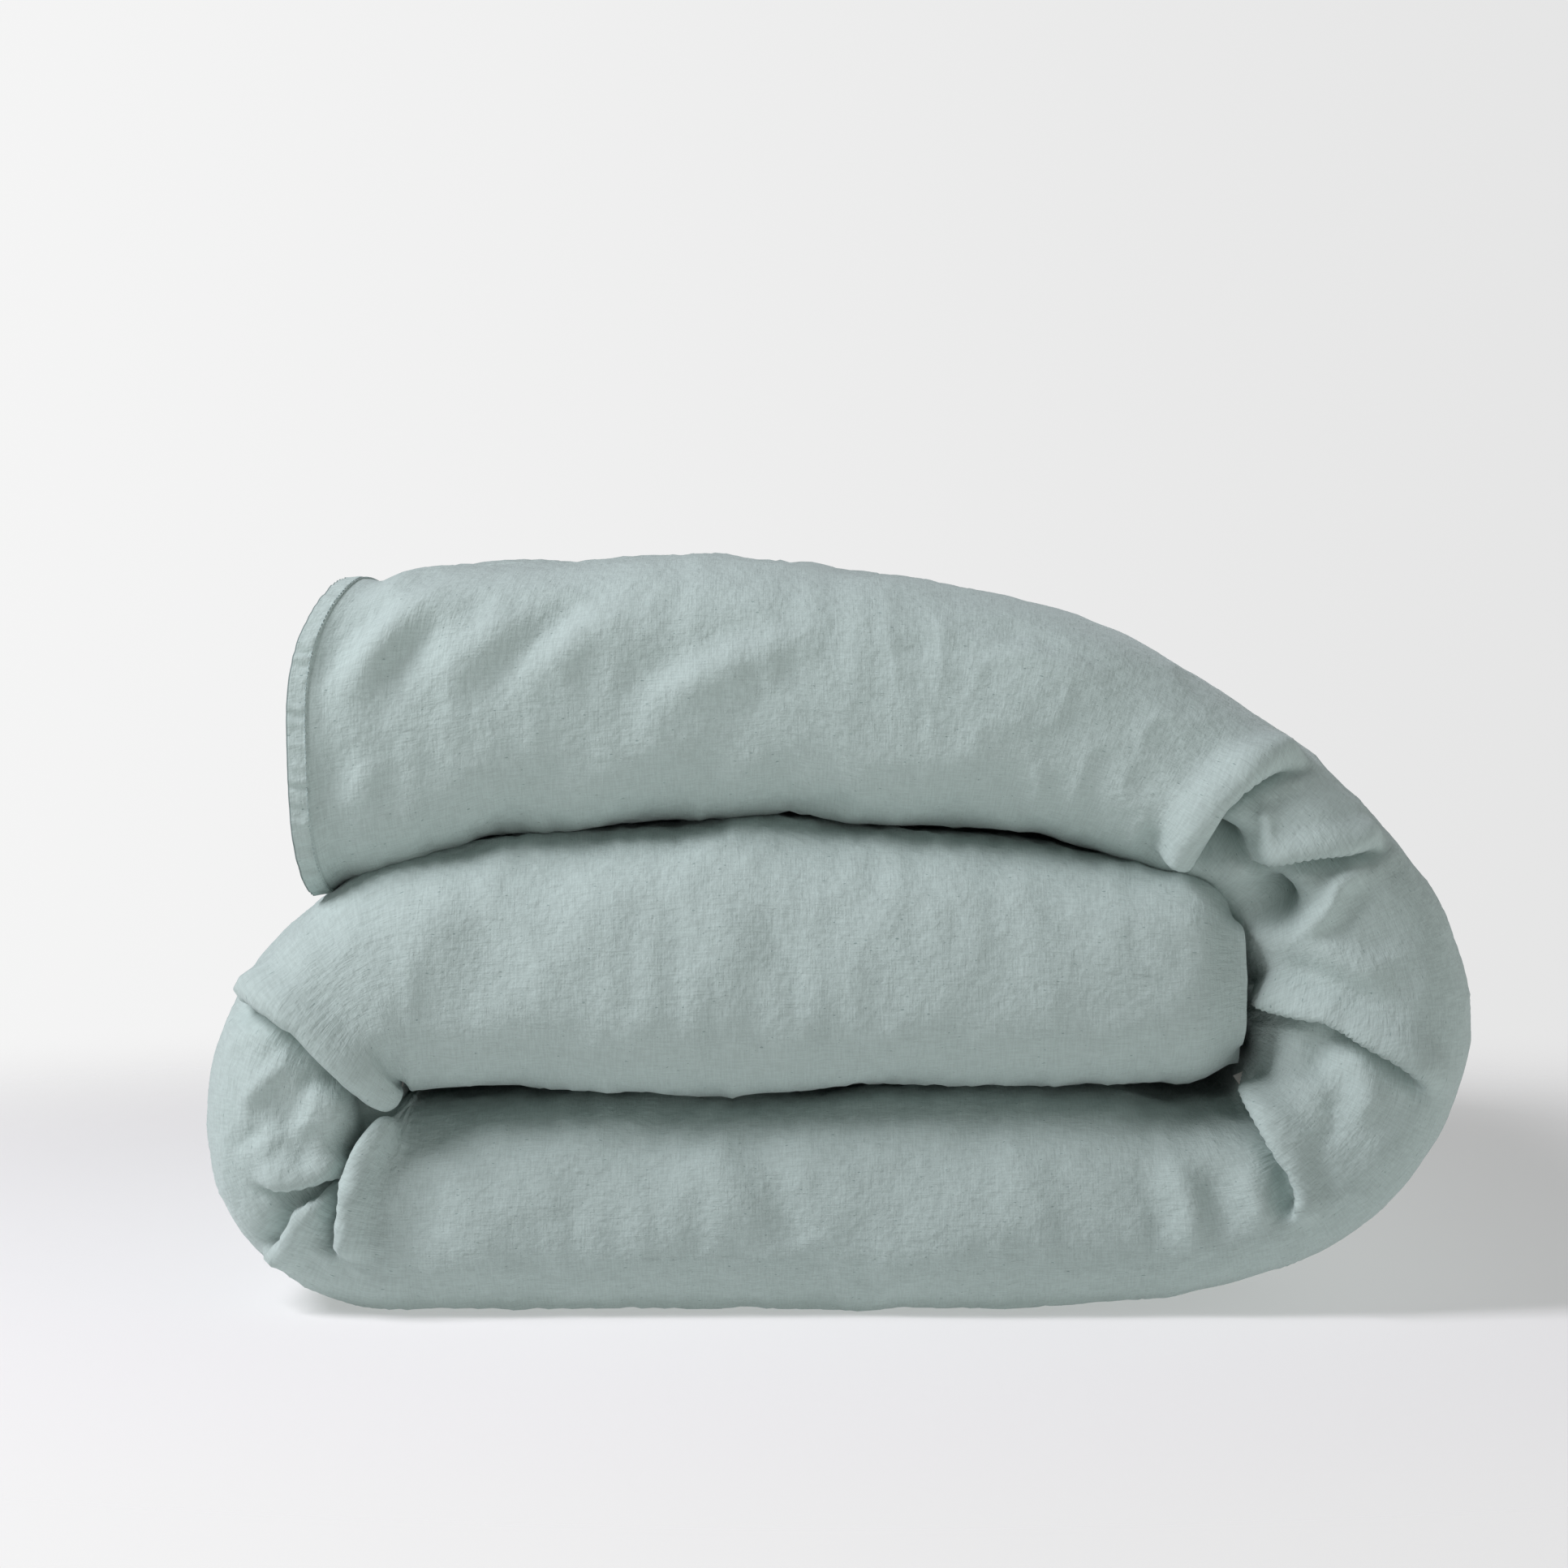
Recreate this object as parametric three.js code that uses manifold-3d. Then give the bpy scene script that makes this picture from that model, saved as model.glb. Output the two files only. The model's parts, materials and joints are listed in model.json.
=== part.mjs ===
// A full/queen duvet in its linen cover, folded in half across its width and then in thirds along its length.
// Millimetres, +Z up. The front of the pile, where the half fold lies, faces -Y. The origin is on the floor,
// under the middle of the pile's box.
//
// Every piece is made in the duvet's own flat coordinates and carried to its place by one map, fold():
//   along   from the head seam (0) to the foot seam, measured on the folded strip's centre line
//   across  from one side seam (0), round the front fold, to the other side seam
//   out     from the middle plane of the half-folded strip towards its outer cloth
import * as THREE from 'three';
import Module from 'manifold-3d';

// ---- Driving dimensions ----
const coverLength = 2337;        // head seam to foot seam, laid flat and empty
const coverWidth = 2235;         // side seam to side seam, laid flat and empty
const fillTakeUp = 0.95;         // the filled duvet's share of its empty length and width
const topLeafHeight = 178;       // each leaf is the duvet's loft twice, because it is folded in half
const middleLeafHeight = 158;
const footHeight = 140;          // the middle leaf is thinner where its end is tucked into the right bend
const bottomLeafHeight = 145;
const leafGap = 2;
const upperCornerHeight = 88;    // leaf height where the right bend is drawn over the middle leaf's upper corner
const lowerCornerHeight = 116;   // and round its lower corner
const rightBendHeight = 126;     // leaf height at the right bend's far point
const leftBendHeight = 118;      // leaf height at the left bend's far point and above it
const leftBendFootHeight = 136;  // and below it, where it rolls onto the floor
const upperBendReach = 315;      // from the top leaf's straight run to the right bend's far point, along X
const lowerBendReach = 152;      // the same, for the bottom leaf
const lowerBendRise = 120;       // from the bottom leaf's centre line up to the right bend's far point
const headSetBack = 98;          // how much shorter the top leaf's straight run is than the bottom leaf's
const footReach = 52;            // how much longer the middle leaf's straight run is
const liftShare = 0.42;          // the top leaf bends up this far along the right bend's upper quarter
const clothThickness = 1.6;
const clearance = 0.4;           // between pieces that lie against each other
const hemWidth = 13;             // the stitched flange outside the seam line
const sideTaper = 110;           // over this width the loft closes down to a side seam
const endTaper = 100;            // and over this length to the head and foot seams
const headFlare = 0.8;           // the head seam stands out towards the outer cloth: 0 is mid loft, 1 the cloth
const footFlare = 0.6;           // and the foot edge a little less
const fillMargin = 32;           // the insert stops this far inside the cover's seams
const chamberDip = 0.35;         // an insert chamber's height at its stitched edge, as a share of its crown
const chambersAcross = 4;
const buttonCount = 8;
const buttonDiameter = 18;
const buttonHeight = 3;
const buttonEdge = 0.9;          // the button's rounded edge
const buttonSlack = 1.2;         // from the buttonhole's cloth to the button
const placketInset = 4;          // from the foot edge to the turned-in plackets
const shankDiameter = 3;
const buttonholeLength = 21;
const buttonholeWidth = 4.2;
const placketWidth = 40;
const tieWidth = 8;
const loopWidth = 12;
const tapeThickness = 1;
const labelLength = 50;
const labelWidth = 22;
const labelThickness = 0.6;

// ---- What follows from them ----
const filledLength = coverLength * fillTakeUp;
const filledWidth = coverWidth * fillTakeUp;
const loft = topLeafHeight / 2;
const frontBendLength = Math.PI * loft / 2;
const sideRun = (filledWidth - frontBendLength) / 2;
const seamHalf = clothThickness + clearance / 2;
const placketEnd = filledLength - placketInset;
const buttonLine = placketEnd - placketWidth / 2;
const placketStart = placketEnd - placketWidth;
const insertFoot = filledLength - endTaper * 0.65;
const bottomCentre = bottomLeafHeight / 2;
const middleCentre = bottomLeafHeight + leafGap + middleLeafHeight / 2;
const topCentre = bottomLeafHeight + middleLeafHeight + 2 * leafGap + topLeafHeight / 2;
const leftBendRadius = (middleCentre - bottomCentre) / 2;
const upperBendDrop = topCentre - bottomCentre - lowerBendRise;
const upperBend = quarterArc(upperBendReach, upperBendDrop);
const lowerBend = quarterArc(lowerBendReach, lowerBendRise);
const leftBendLength = Math.PI * leftBendRadius;
const bendLengths = upperBend.length + lowerBend.length + leftBendLength;
const straightRun = (filledLength - bendLengths + headSetBack - footReach) / 3;
const leftBendX = -(straightRun + lowerBendReach - leftBendRadius + (rightBendHeight - leftBendHeight) / 2) / 2;
const rightBendX = leftBendX + straightRun;
const topRunEndX = rightBendX + lowerBendReach - upperBendReach;

// Where each stretch of the centre line ends, along the strip.
const topRunEnd = straightRun - headSetBack;
const liftLine = topRunEnd + upperBend.length * liftShare;
const bendFarPoint = topRunEnd + upperBend.length;
const bottomRunStart = bendFarPoint + lowerBend.length;
const leftBendStart = bottomRunStart + straightRun;
const leftBendEnd = leftBendStart + leftBendLength;

// ---- The folded centre line and its height ----

// A quarter of an ellipse as evenly turned points, from the end where it runs along X to its far point.
function quarterArc(reach, drop) {
  const steps = 48;
  const points = [];
  for (let i = 0; i <= steps; i++) {
    const turn = (i / steps) * Math.PI / 2;
    points.push(new THREE.Vector2(reach * Math.sin(turn), drop * Math.cos(turn)));
  }
  const lengths = [0];
  for (let i = 1; i <= steps; i++) lengths.push(lengths[i - 1] + points[i].distanceTo(points[i - 1]));
  const length = lengths[steps];
  const at = (distance) => {
    let i = 1;
    while (i < steps && lengths[i] < distance) i++;
    const share = (distance - lengths[i - 1]) / (lengths[i] - lengths[i - 1]);
    const turn = ((i - 1 + share) / steps) * Math.PI / 2;
    const tangent = new THREE.Vector2(reach * Math.cos(turn), -drop * Math.sin(turn)).normalize();
    return { point: new THREE.Vector2(reach * Math.sin(turn), drop * Math.cos(turn)), tangent };
  };
  return { length, at };
}

// The centre line: its point and its direction at a distance along the strip, as (x, z) pairs.
function centreLine(along) {
  if (along <= topRunEnd) {
    return { point: new THREE.Vector2(topRunEndX - (topRunEnd - along), topCentre), tangent: new THREE.Vector2(1, 0) };
  }
  if (along <= bendFarPoint) {
    const { point, tangent } = upperBend.at(along - topRunEnd);
    return { point: point.add(new THREE.Vector2(topRunEndX, topCentre - upperBendDrop)), tangent };
  }
  if (along <= bottomRunStart) {
    const { point, tangent } = lowerBend.at(bottomRunStart - along);
    return {
      point: new THREE.Vector2(rightBendX + point.x, bottomCentre + lowerBendRise - point.y),
      tangent: new THREE.Vector2(-tangent.x, tangent.y),
    };
  }
  if (along <= leftBendStart) {
    return {
      point: new THREE.Vector2(rightBendX - (along - bottomRunStart), bottomCentre),
      tangent: new THREE.Vector2(-1, 0),
    };
  }
  if (along <= leftBendEnd) {
    const turn = (along - leftBendStart) / leftBendRadius;
    return {
      point: new THREE.Vector2(
        leftBendX - leftBendRadius * Math.sin(turn), bottomCentre + leftBendRadius * (1 - Math.cos(turn))),
      tangent: new THREE.Vector2(-Math.cos(turn), Math.sin(turn)),
    };
  }
  return { point: new THREE.Vector2(leftBendX + (along - leftBendEnd), middleCentre), tangent: new THREE.Vector2(1, 0) };
}

// The leaf's height along the strip, eased between the places that set it.
const heights = [
  [0, topLeafHeight],
  [topRunEnd, topLeafHeight],
  [topRunEnd + upperBend.length * 0.66, upperCornerHeight],
  [bendFarPoint, rightBendHeight],
  [bendFarPoint + lowerBend.length * 0.5, lowerCornerHeight],
  [bottomRunStart + endTaper, bottomLeafHeight],
  [leftBendStart, bottomLeafHeight],
  [leftBendStart + leftBendLength * 0.25, leftBendFootHeight],
  [leftBendStart + leftBendLength * 0.5, leftBendHeight],
  [leftBendStart + leftBendLength * 0.8, leftBendHeight],
  [leftBendEnd, bottomLeafHeight],
  [leftBendEnd + 2 * endTaper, middleLeafHeight],
  [filledLength - endTaper, footHeight],
  [filledLength, footHeight],
];

function leafHeight(along) {
  const i = Math.max(1, heights.findIndex(([place]) => place >= along));
  if (along >= filledLength) return footHeight;
  const [start, low] = heights[i - 1];
  const [end, high] = heights[i];
  return THREE.MathUtils.lerp(low, high, THREE.MathUtils.smoothstep(along, start, end));
}

// ---- The map from flat to folded ----

function fold(along, across, out) {
  const { point, tangent } = centreLine(along);
  const scale = leafHeight(along) / topLeafHeight;
  let y = sideRun - across;
  let offset = out;
  if (across > sideRun && across < filledWidth - sideRun) {
    const turn = ((across - sideRun) / frontBendLength) * Math.PI;
    y = -out * Math.sin(turn);
    offset = out * Math.cos(turn);
  } else if (across >= filledWidth - sideRun) {
    y = across - (filledWidth - sideRun);
    offset = -out;
  }
  return new THREE.Vector3(point.x - tangent.y * offset * scale, y, point.y + tangent.x * offset * scale);
}

// Half the loft, and the place of its middle, anywhere on the duvet.
const rise = (distance, taper) => Math.sin(Math.PI / 2 * THREE.MathUtils.clamp(distance / taper, 0, 1));

function halfLoft(along, across) {
  const ends = rise(Math.min(along, filledLength - along), endTaper);
  const sides = rise(Math.min(across, filledWidth - across), sideTaper);
  return Math.max(seamHalf, (loft / 2 - clearance) * ends * sides);
}

function midLoft(along) {
  const ends = rise(Math.min(along, filledLength - along), endTaper);
  return loft / 2 * (1 + (along < filledLength / 2 ? headFlare : footFlare) * (1 - ends));
}

const outerFace = (along, across) => midLoft(along) + halfLoft(along, across);
const innerFace = (along, across) => midLoft(along) - halfLoft(along, across);

// ---- Stations that every piece shares, so that faces that lie together have the same facets ----

function steps(start, end, count) {
  return Array.from({ length: count + 1 }, (_, i) => start + (end - start) * i / count);
}

const alongStations = [...new Set([
  0, fillMargin, endTaper * 0.65, endTaper,
  ...steps(endTaper, topRunEnd, 2),
  ...steps(topRunEnd, liftLine, 2),
  ...steps(liftLine, bottomRunStart, 9),
  ...steps(bottomRunStart, leftBendStart, 4),
  ...steps(leftBendStart, leftBendEnd, 8),
  ...steps(leftBendEnd, filledLength - endTaper, 3),
  insertFoot, placketStart, buttonLine, placketEnd, filledLength,
])];

const halfAcross = [0, fillMargin, sideTaper * 0.65, sideTaper, filledWidth / 8, filledWidth / 4,
  filledWidth * 3 / 8, sideRun, sideRun + frontBendLength / 6, sideRun + frontBendLength / 3, filledWidth / 2];
const acrossStations = [...halfAcross, ...halfAcross.slice(0, -1).reverse().map((place) => filledWidth - place)];

// The shared stations inside a span, with the span's own ends.
function stationsIn(stations, start, end) {
  const inside = stations.filter((place) => place > start + 1 && place < end - 1);
  return [start, ...inside, end];
}

// ---- Solids ----

// A closed block between two faces over a patch of the flat duvet, carried through the fold.
function patch(alongList, acrossList, low, high) {
  const rows = alongList.length;
  const columns = acrossList.length;
  const positions = [];
  for (const face of [low, high]) {
    for (const along of alongList) {
      for (const across of acrossList) positions.push(...fold(along, across, face(along, across)).toArray());
    }
  }
  const corner = (face, row, column) => (face * rows + row) * columns + column;
  const index = [];
  const quad = (a, b, c, d) => index.push(a, b, c, a, c, d);
  for (let row = 0; row < rows - 1; row++) {
    for (let column = 0; column < columns - 1; column++) {
      quad(corner(0, row, column), corner(0, row + 1, column),
        corner(0, row + 1, column + 1), corner(0, row, column + 1));
      index.push(
        corner(1, row, column), corner(1, row + 1, column + 1), corner(1, row + 1, column),
        corner(1, row, column), corner(1, row, column + 1), corner(1, row + 1, column + 1));
    }
  }
  for (let row = 0; row < rows - 1; row++) {
    quad(corner(0, row, 0), corner(1, row, 0), corner(1, row + 1, 0), corner(0, row + 1, 0));
    quad(corner(0, row, columns - 1), corner(0, row + 1, columns - 1),
      corner(1, row + 1, columns - 1), corner(1, row, columns - 1));
  }
  for (let column = 0; column < columns - 1; column++) {
    quad(corner(0, 0, column), corner(0, 0, column + 1), corner(1, 0, column + 1), corner(1, 0, column));
    quad(corner(0, rows - 1, column), corner(1, rows - 1, column),
      corner(1, rows - 1, column + 1), corner(0, rows - 1, column + 1));
  }
  return facingOut(new THREE.Float32BufferAttribute(positions, 3), index);
}

// Turns a closed mesh's faces outwards, whichever way round it was listed.
function facingOut(position, index) {
  const [a, b, c] = [new THREE.Vector3(), new THREE.Vector3(), new THREE.Vector3()];
  let volume = 0;
  for (let i = 0; i < index.length; i += 3) {
    a.fromBufferAttribute(position, index[i]);
    b.fromBufferAttribute(position, index[i + 1]);
    c.fromBufferAttribute(position, index[i + 2]);
    volume += a.dot(b.cross(c));
  }
  if (volume < 0) {
    for (let i = 0; i < index.length; i += 3) [index[i + 1], index[i + 2]] = [index[i + 2], index[i + 1]];
  }
  return new THREE.BufferGeometry().setAttribute('position', position).setIndex(index);
}

const wasm = await Module();
wasm.setup();

function solidOf(geometry) {
  return new wasm.Manifold(new wasm.Mesh({
    numProp: 3,
    vertProperties: new Float32Array(geometry.attributes.position.array),
    triVerts: new Uint32Array(geometry.index.array),
  }));
}

function geometryOf(solid) {
  const mesh = solid.getMesh();
  return new THREE.BufferGeometry()
    .setAttribute('position', new THREE.BufferAttribute(mesh.vertProperties, 3))
    .setIndex(new THREE.BufferAttribute(mesh.triVerts, 1));
}

// ---- Materials ----
const linen = new THREE.MeshStandardMaterial({ color: 0x9db1ae, roughness: 0.9 });
const seamLinen = new THREE.MeshStandardMaterial({ color: 0x93a8a4, roughness: 0.9 });
const downProofCotton = new THREE.MeshStandardMaterial({ color: 0xf2f0ea, roughness: 0.8 });
const cottonTape = new THREE.MeshStandardMaterial({ color: 0xe4e0d4, roughness: 0.85 });
const pearlResin = new THREE.MeshStandardMaterial({ color: 0xdfe2dc, roughness: 0.35 });
const satin = new THREE.MeshStandardMaterial({ color: 0xf6f5f1, roughness: 0.5 });

const topLeaf = new THREE.Group();
const pile = new THREE.Group();

function place(group, name, geometry, material) {
  const mesh = new THREE.Mesh(geometry, material);
  mesh.name = name;
  group.add(mesh);
}

// ---- The cover's two panels, in one section for each leaf and bend ----
const sections = [
  { name: 'top_leaf', start: 0, end: liftLine - clearance / 2, group: topLeaf },
  { name: 'right_bend', start: liftLine + clearance / 2, end: bottomRunStart - clearance / 2, group: pile },
  { name: 'bottom_leaf', start: bottomRunStart + clearance / 2, end: leftBendStart - clearance / 2, group: pile },
  { name: 'left_bend', start: leftBendStart + clearance / 2, end: leftBendEnd - clearance / 2, group: pile },
  { name: 'middle_leaf', start: leftBendEnd + clearance / 2, end: filledLength, group: pile },
];

function addPanels() {
  for (const { name, start, end, group } of sections) {
    const alongList = stationsIn(alongStations, start, end);
    place(group, `cover_outer_panel_${name}`, patch(alongList, acrossStations,
      (along, across) => outerFace(along, across) - clothThickness, outerFace), linen);
    place(group, `cover_inner_panel_${name}`, patch(alongList, acrossStations,
      innerFace, (along, across) => innerFace(along, across) + clothThickness), linen);
  }
}

// ---- The stitched flanges outside the seams ----
const hemLow = (along) => midLoft(along) - seamHalf;
const hemHigh = (along) => midLoft(along) + seamHalf;

function addHems() {
  const sides = {
    outer: [-clearance - hemWidth, -clearance],
    inner: [filledWidth + clearance, filledWidth + clearance + hemWidth],
  };
  const stretches = [
    { name: 'top_leaf', start: 0, end: liftLine - clearance / 2, group: topLeaf },
    { name: 'pile', start: liftLine + clearance / 2, end: filledLength, group: pile },
  ];
  for (const [side, acrossList] of Object.entries(sides)) {
    for (const { name, start, end, group } of stretches) {
      const alongList = stationsIn(alongStations, start, end);
      place(group, `side_hem_${side}_${name}`, patch(alongList, acrossList, hemLow, hemHigh), seamLinen);
    }
  }
  const headHem = [-clearance - hemWidth, -clearance];
  place(topLeaf, 'head_hem', patch(headHem, acrossStations, hemLow, hemHigh), seamLinen);
}

// ---- The foot opening: two plackets, turned in along the inner panel's foot edge and buttoned together ----
const buttonPlacketFace = (along, across) => innerFace(along, across) - clearance;
const buttonholePlacketFace = (along, across) => buttonPlacketFace(along, across) - clothThickness - clearance;
const buttonSeat = (along, across) => buttonholePlacketFace(along, across) - clothThickness;

// The place of the button at this distance across: Z points out of the placket that it is sewn to.
function buttonFrame(across) {
  const foot = fold(buttonLine, across, buttonholePlacketFace(buttonLine, across));
  const ahead = fold(placketEnd, across, buttonSeat(placketEnd, across))
    .sub(fold(placketStart, across, buttonSeat(placketStart, across))).normalize();
  const up = ahead.clone().cross(new THREE.Vector3(0, 1, 0)).normalize();
  const seat = fold(buttonLine, across, buttonSeat(buttonLine, across)).sub(foot);
  if (up.dot(seat) < 0) up.negate();
  return {
    matrix: new THREE.Matrix4().makeBasis(ahead, up.clone().cross(ahead), up).setPosition(foot),
    seatHeight: up.dot(seat) + buttonSlack,
  };
}

// A domed-edge button on its wound-thread shank.
function button(seatHeight) {
  const radius = buttonDiameter / 2;
  const shank = shankDiameter / 2;
  const top = seatHeight + buttonHeight;
  const outline = [
    [0, 0], [shank, 0], [shank, seatHeight], [radius - buttonEdge, seatHeight], [radius, seatHeight + buttonEdge],
    [radius, top - buttonEdge], [radius - buttonEdge, top], [radius - 3 * buttonEdge, top - buttonEdge / 2],
    [0, top - buttonEdge / 2],
  ].map(([x, y]) => new THREE.Vector2(x, y));
  return new THREE.LatheGeometry(outline, 14).rotateX(Math.PI / 2);
}

function addFootClosure() {
  const alongList = stationsIn(alongStations, placketStart, placketEnd);
  const acrossList = stationsIn(acrossStations, sideTaper, filledWidth - sideTaper);
  const frames = steps(0, 1, buttonCount - 1).map((share) => buttonFrame(
    THREE.MathUtils.lerp(sideTaper + buttonDiameter, filledWidth - sideTaper - buttonDiameter, share)));
  place(pile, 'button_placket', patch(alongList, acrossList,
    (along, across) => buttonPlacketFace(along, across) - clothThickness, buttonPlacketFace), seamLinen);
  let buttonhole = solidOf(patch(alongList, acrossList, buttonSeat, buttonholePlacketFace));
  for (const { matrix } of frames) {
    const slot = new THREE.BoxGeometry(buttonholeWidth, buttonholeLength, 5 * clothThickness);
    slot.deleteAttribute('normal').deleteAttribute('uv');
    buttonhole = buttonhole.subtract(solidOf(merged(slot.applyMatrix4(matrix))));
  }
  place(pile, 'buttonhole_placket', geometryOf(buttonhole), seamLinen);
  frames.forEach(({ matrix, seatHeight }, i) => {
    place(pile, `button_${i + 1}`, button(seatHeight).applyMatrix4(matrix), pearlResin);
  });
}

// Joins the corners that a box's faces list apart.
function merged(geometry) {
  const position = geometry.attributes.position;
  const found = new Map();
  const points = [];
  const index = Array.from(geometry.index.array, (i) => {
    const key = [position.getX(i), position.getY(i), position.getZ(i)].map((v) => v.toFixed(3)).join();
    if (!found.has(key)) {
      found.set(key, points.length / 3);
      points.push(position.getX(i), position.getY(i), position.getZ(i));
    }
    return found.get(key);
  });
  return facingOut(new THREE.Float32BufferAttribute(points, 3), index);
}

// ---- The insert: stitched chambers of fill, and the ties that hold it in the cover's corners ----
function addChambers() {
  const inset = clearance / 2;
  for (const { name, start, end, group } of sections) {
    const first = Math.max(start + inset / 2, fillMargin);
    const last = Math.min(end - inset / 2, insertFoot);
    const alongList = stationsIn(alongStations, first, last);
    for (let column = 0; column < chambersAcross; column++) {
      const left = Math.max(filledWidth * column / chambersAcross + inset, fillMargin);
      const right = Math.min(filledWidth * (column + 1) / chambersAcross - inset, filledWidth - fillMargin);
      const acrossList = stationsIn(acrossStations, left, right);
      const crown = (along, across) => {
        const puff = Math.sin(Math.PI * (along - first) / (last - first)) *
          Math.sin(Math.PI * (across - left) / (right - left));
        const share = chamberDip + (1 - chamberDip) * Math.sqrt(Math.max(0, puff));
        return (halfLoft(along, across) - clothThickness - clearance) * share;
      };
      place(group, `insert_chamber_${name}_${column + 1}`, patch(alongList, acrossList,
        (along, across) => midLoft(along) - crown(along, across),
        (along, across) => midLoft(along) + crown(along, across)), downProofCotton);
    }
  }
}

function addCornerTies() {
  const corners = [
    { name: 'head_outer', atFoot: false, atInner: false, group: topLeaf },
    { name: 'head_inner', atFoot: false, atInner: true, group: topLeaf },
    { name: 'foot_outer', atFoot: true, atInner: false, group: pile },
    { name: 'foot_inner', atFoot: true, atInner: true, group: pile },
  ];
  const tape = (along) => [midLoft(along) - tapeThickness / 2, midLoft(along) + tapeThickness / 2];
  for (const { name, atFoot, atInner, group } of corners) {
    const chamberEdge = atFoot ? insertFoot : fillMargin;
    const span = (from, to) => (atFoot
      ? [chamberEdge + to, chamberEdge + from]
      : [chamberEdge - to, chamberEdge - from]).sort((a, b) => a - b);
    const side = (near, far) => (atInner
      ? [filledWidth - far, filledWidth - near]
      : [near, far]);
    const middle = fillMargin + loopWidth;
    place(group, `insert_loop_${name}`, patch(span(clearance, clearance + loopWidth),
      side(middle - loopWidth / 2, middle + loopWidth / 2),
      (along) => tape(along)[0], (along) => tape(along)[1]), cottonTape);
    const tieStart = 2 * clearance + loopWidth;
    const tieEnd = fillMargin - clearance - 6;
    place(group, `corner_tie_${name}`, patch(span(tieStart, tieEnd),
      side(middle - tieWidth / 2, middle + tieWidth / 2),
      (along) => tape(along)[0], (along) => tape(along)[1]), cottonTape);
  }
}

function addCareLabel() {
  const start = leftBendStart - straightRun / 3;
  const near = 6;
  const face = (along, across) => innerFace(along, across) + clothThickness + clearance;
  place(pile, 'care_label', patch([start, start + labelLength], [near, near + labelWidth],
    face, (along, across) => face(along, across) + labelThickness), satin);
}

addPanels();
addHems();
addFootClosure();
addChambers();
addCornerTies();
addCareLabel();
pile.add(topLeaf);

// Set the origin on the floor, under the middle of the pile's box.
const box = new THREE.Box3().setFromObject(pile);
const centre = box.getCenter(new THREE.Vector3());
const duvet = new THREE.Group();
duvet.add(pile);
pile.position.set(-centre.x, -centre.y, -box.min.z);

// The line that the top leaf lifts about, along Y: on its upper cloth, at the right bend's shoulder.
duvet.userData.liftHinge = fold(liftLine, sideRun / 2, loft + 1).add(pile.position).toArray();

export default duvet;
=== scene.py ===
# A full/queen duvet in a washed linen cover, folded in half across its width and then in thirds.
# Metres, +Z up. The front half fold faces -Y. Every cloth is a grid over the duvet's own flat coordinates:
#   along   from the head seam to the foot seam, on the folded strip's centre line
#   across  from one side seam, round the front fold, to the other
#   out     from the middle plane of the half-folded strip towards its outer cloth
import bpy
import json
import math
import numpy as np
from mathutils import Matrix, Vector


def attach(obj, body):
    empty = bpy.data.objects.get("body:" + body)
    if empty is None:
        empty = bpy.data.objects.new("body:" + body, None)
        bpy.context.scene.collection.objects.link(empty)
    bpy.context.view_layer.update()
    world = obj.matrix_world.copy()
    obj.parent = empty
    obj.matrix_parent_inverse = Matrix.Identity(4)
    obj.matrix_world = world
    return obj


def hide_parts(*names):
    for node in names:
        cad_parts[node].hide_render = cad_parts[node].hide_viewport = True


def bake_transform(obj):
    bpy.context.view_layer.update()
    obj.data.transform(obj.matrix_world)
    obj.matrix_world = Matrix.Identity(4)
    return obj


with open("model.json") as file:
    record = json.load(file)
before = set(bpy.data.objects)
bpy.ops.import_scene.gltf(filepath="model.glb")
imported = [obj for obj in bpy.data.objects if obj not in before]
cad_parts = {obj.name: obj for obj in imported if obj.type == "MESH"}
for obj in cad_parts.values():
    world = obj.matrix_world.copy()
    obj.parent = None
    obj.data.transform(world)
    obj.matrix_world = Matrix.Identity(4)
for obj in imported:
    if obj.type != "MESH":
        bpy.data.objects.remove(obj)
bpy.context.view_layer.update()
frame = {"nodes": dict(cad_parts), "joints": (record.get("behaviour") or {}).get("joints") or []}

# The folded strip, as the frame has it.
strip = {
    "coverLength": 2.337, "coverWidth": 2.235, "takeUp": 0.95,
    "topHeight": 0.178, "middleHeight": 0.158, "footHeight": 0.140, "bottomHeight": 0.145, "gap": 0.002,
    "upperCornerHeight": 0.088, "lowerCornerHeight": 0.116, "rightBendHeight": 0.126,
    "leftBendHeight": 0.118, "leftBendFootHeight": 0.136,
    "upperReach": 0.315, "lowerReach": 0.152, "lowerRise": 0.120, "headSetBack": 0.098, "footReach": 0.052,
    "liftShare": 0.42, "sideTaper": 0.110, "endTaper": 0.100,
    "headFlare": 0.8, "footFlare": 0.6, "frontFlare": 0.16, "flareBefore": 0.25, "flareFade": 0.2,
    "cloth": 0.0016, "clearance": 0.0004, "hingeAbove": 0.001,
    "innerFullness": 2.0, "outerFullness": 2.7,   # the front fold's section: 2 is an ellipse, more is squarer
    # how far round a bend its heights are set, as shares of its quarter or half
    "upperCorner": 0.66, "lowerCorner": 0.5, "leftFoot": 0.25, "leftFar": 0.5, "leftTop": 0.8,
    "floorGap": 0.0005,   # the lowest that the cover's cloth lies
}


# A quarter ellipse as evenly turned points, from where it runs along X down to its far point.
def quarterArc(reach, drop, count=181):
    turn = np.linspace(0, math.pi / 2, count)
    x, z = reach * np.sin(turn), drop * np.cos(turn)
    length = np.concatenate([[0], np.cumsum(np.hypot(np.diff(x), np.diff(z)))])
    angle = np.arctan2(-drop * np.sin(turn), reach * np.cos(turn))
    return x, z, angle, length


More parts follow.
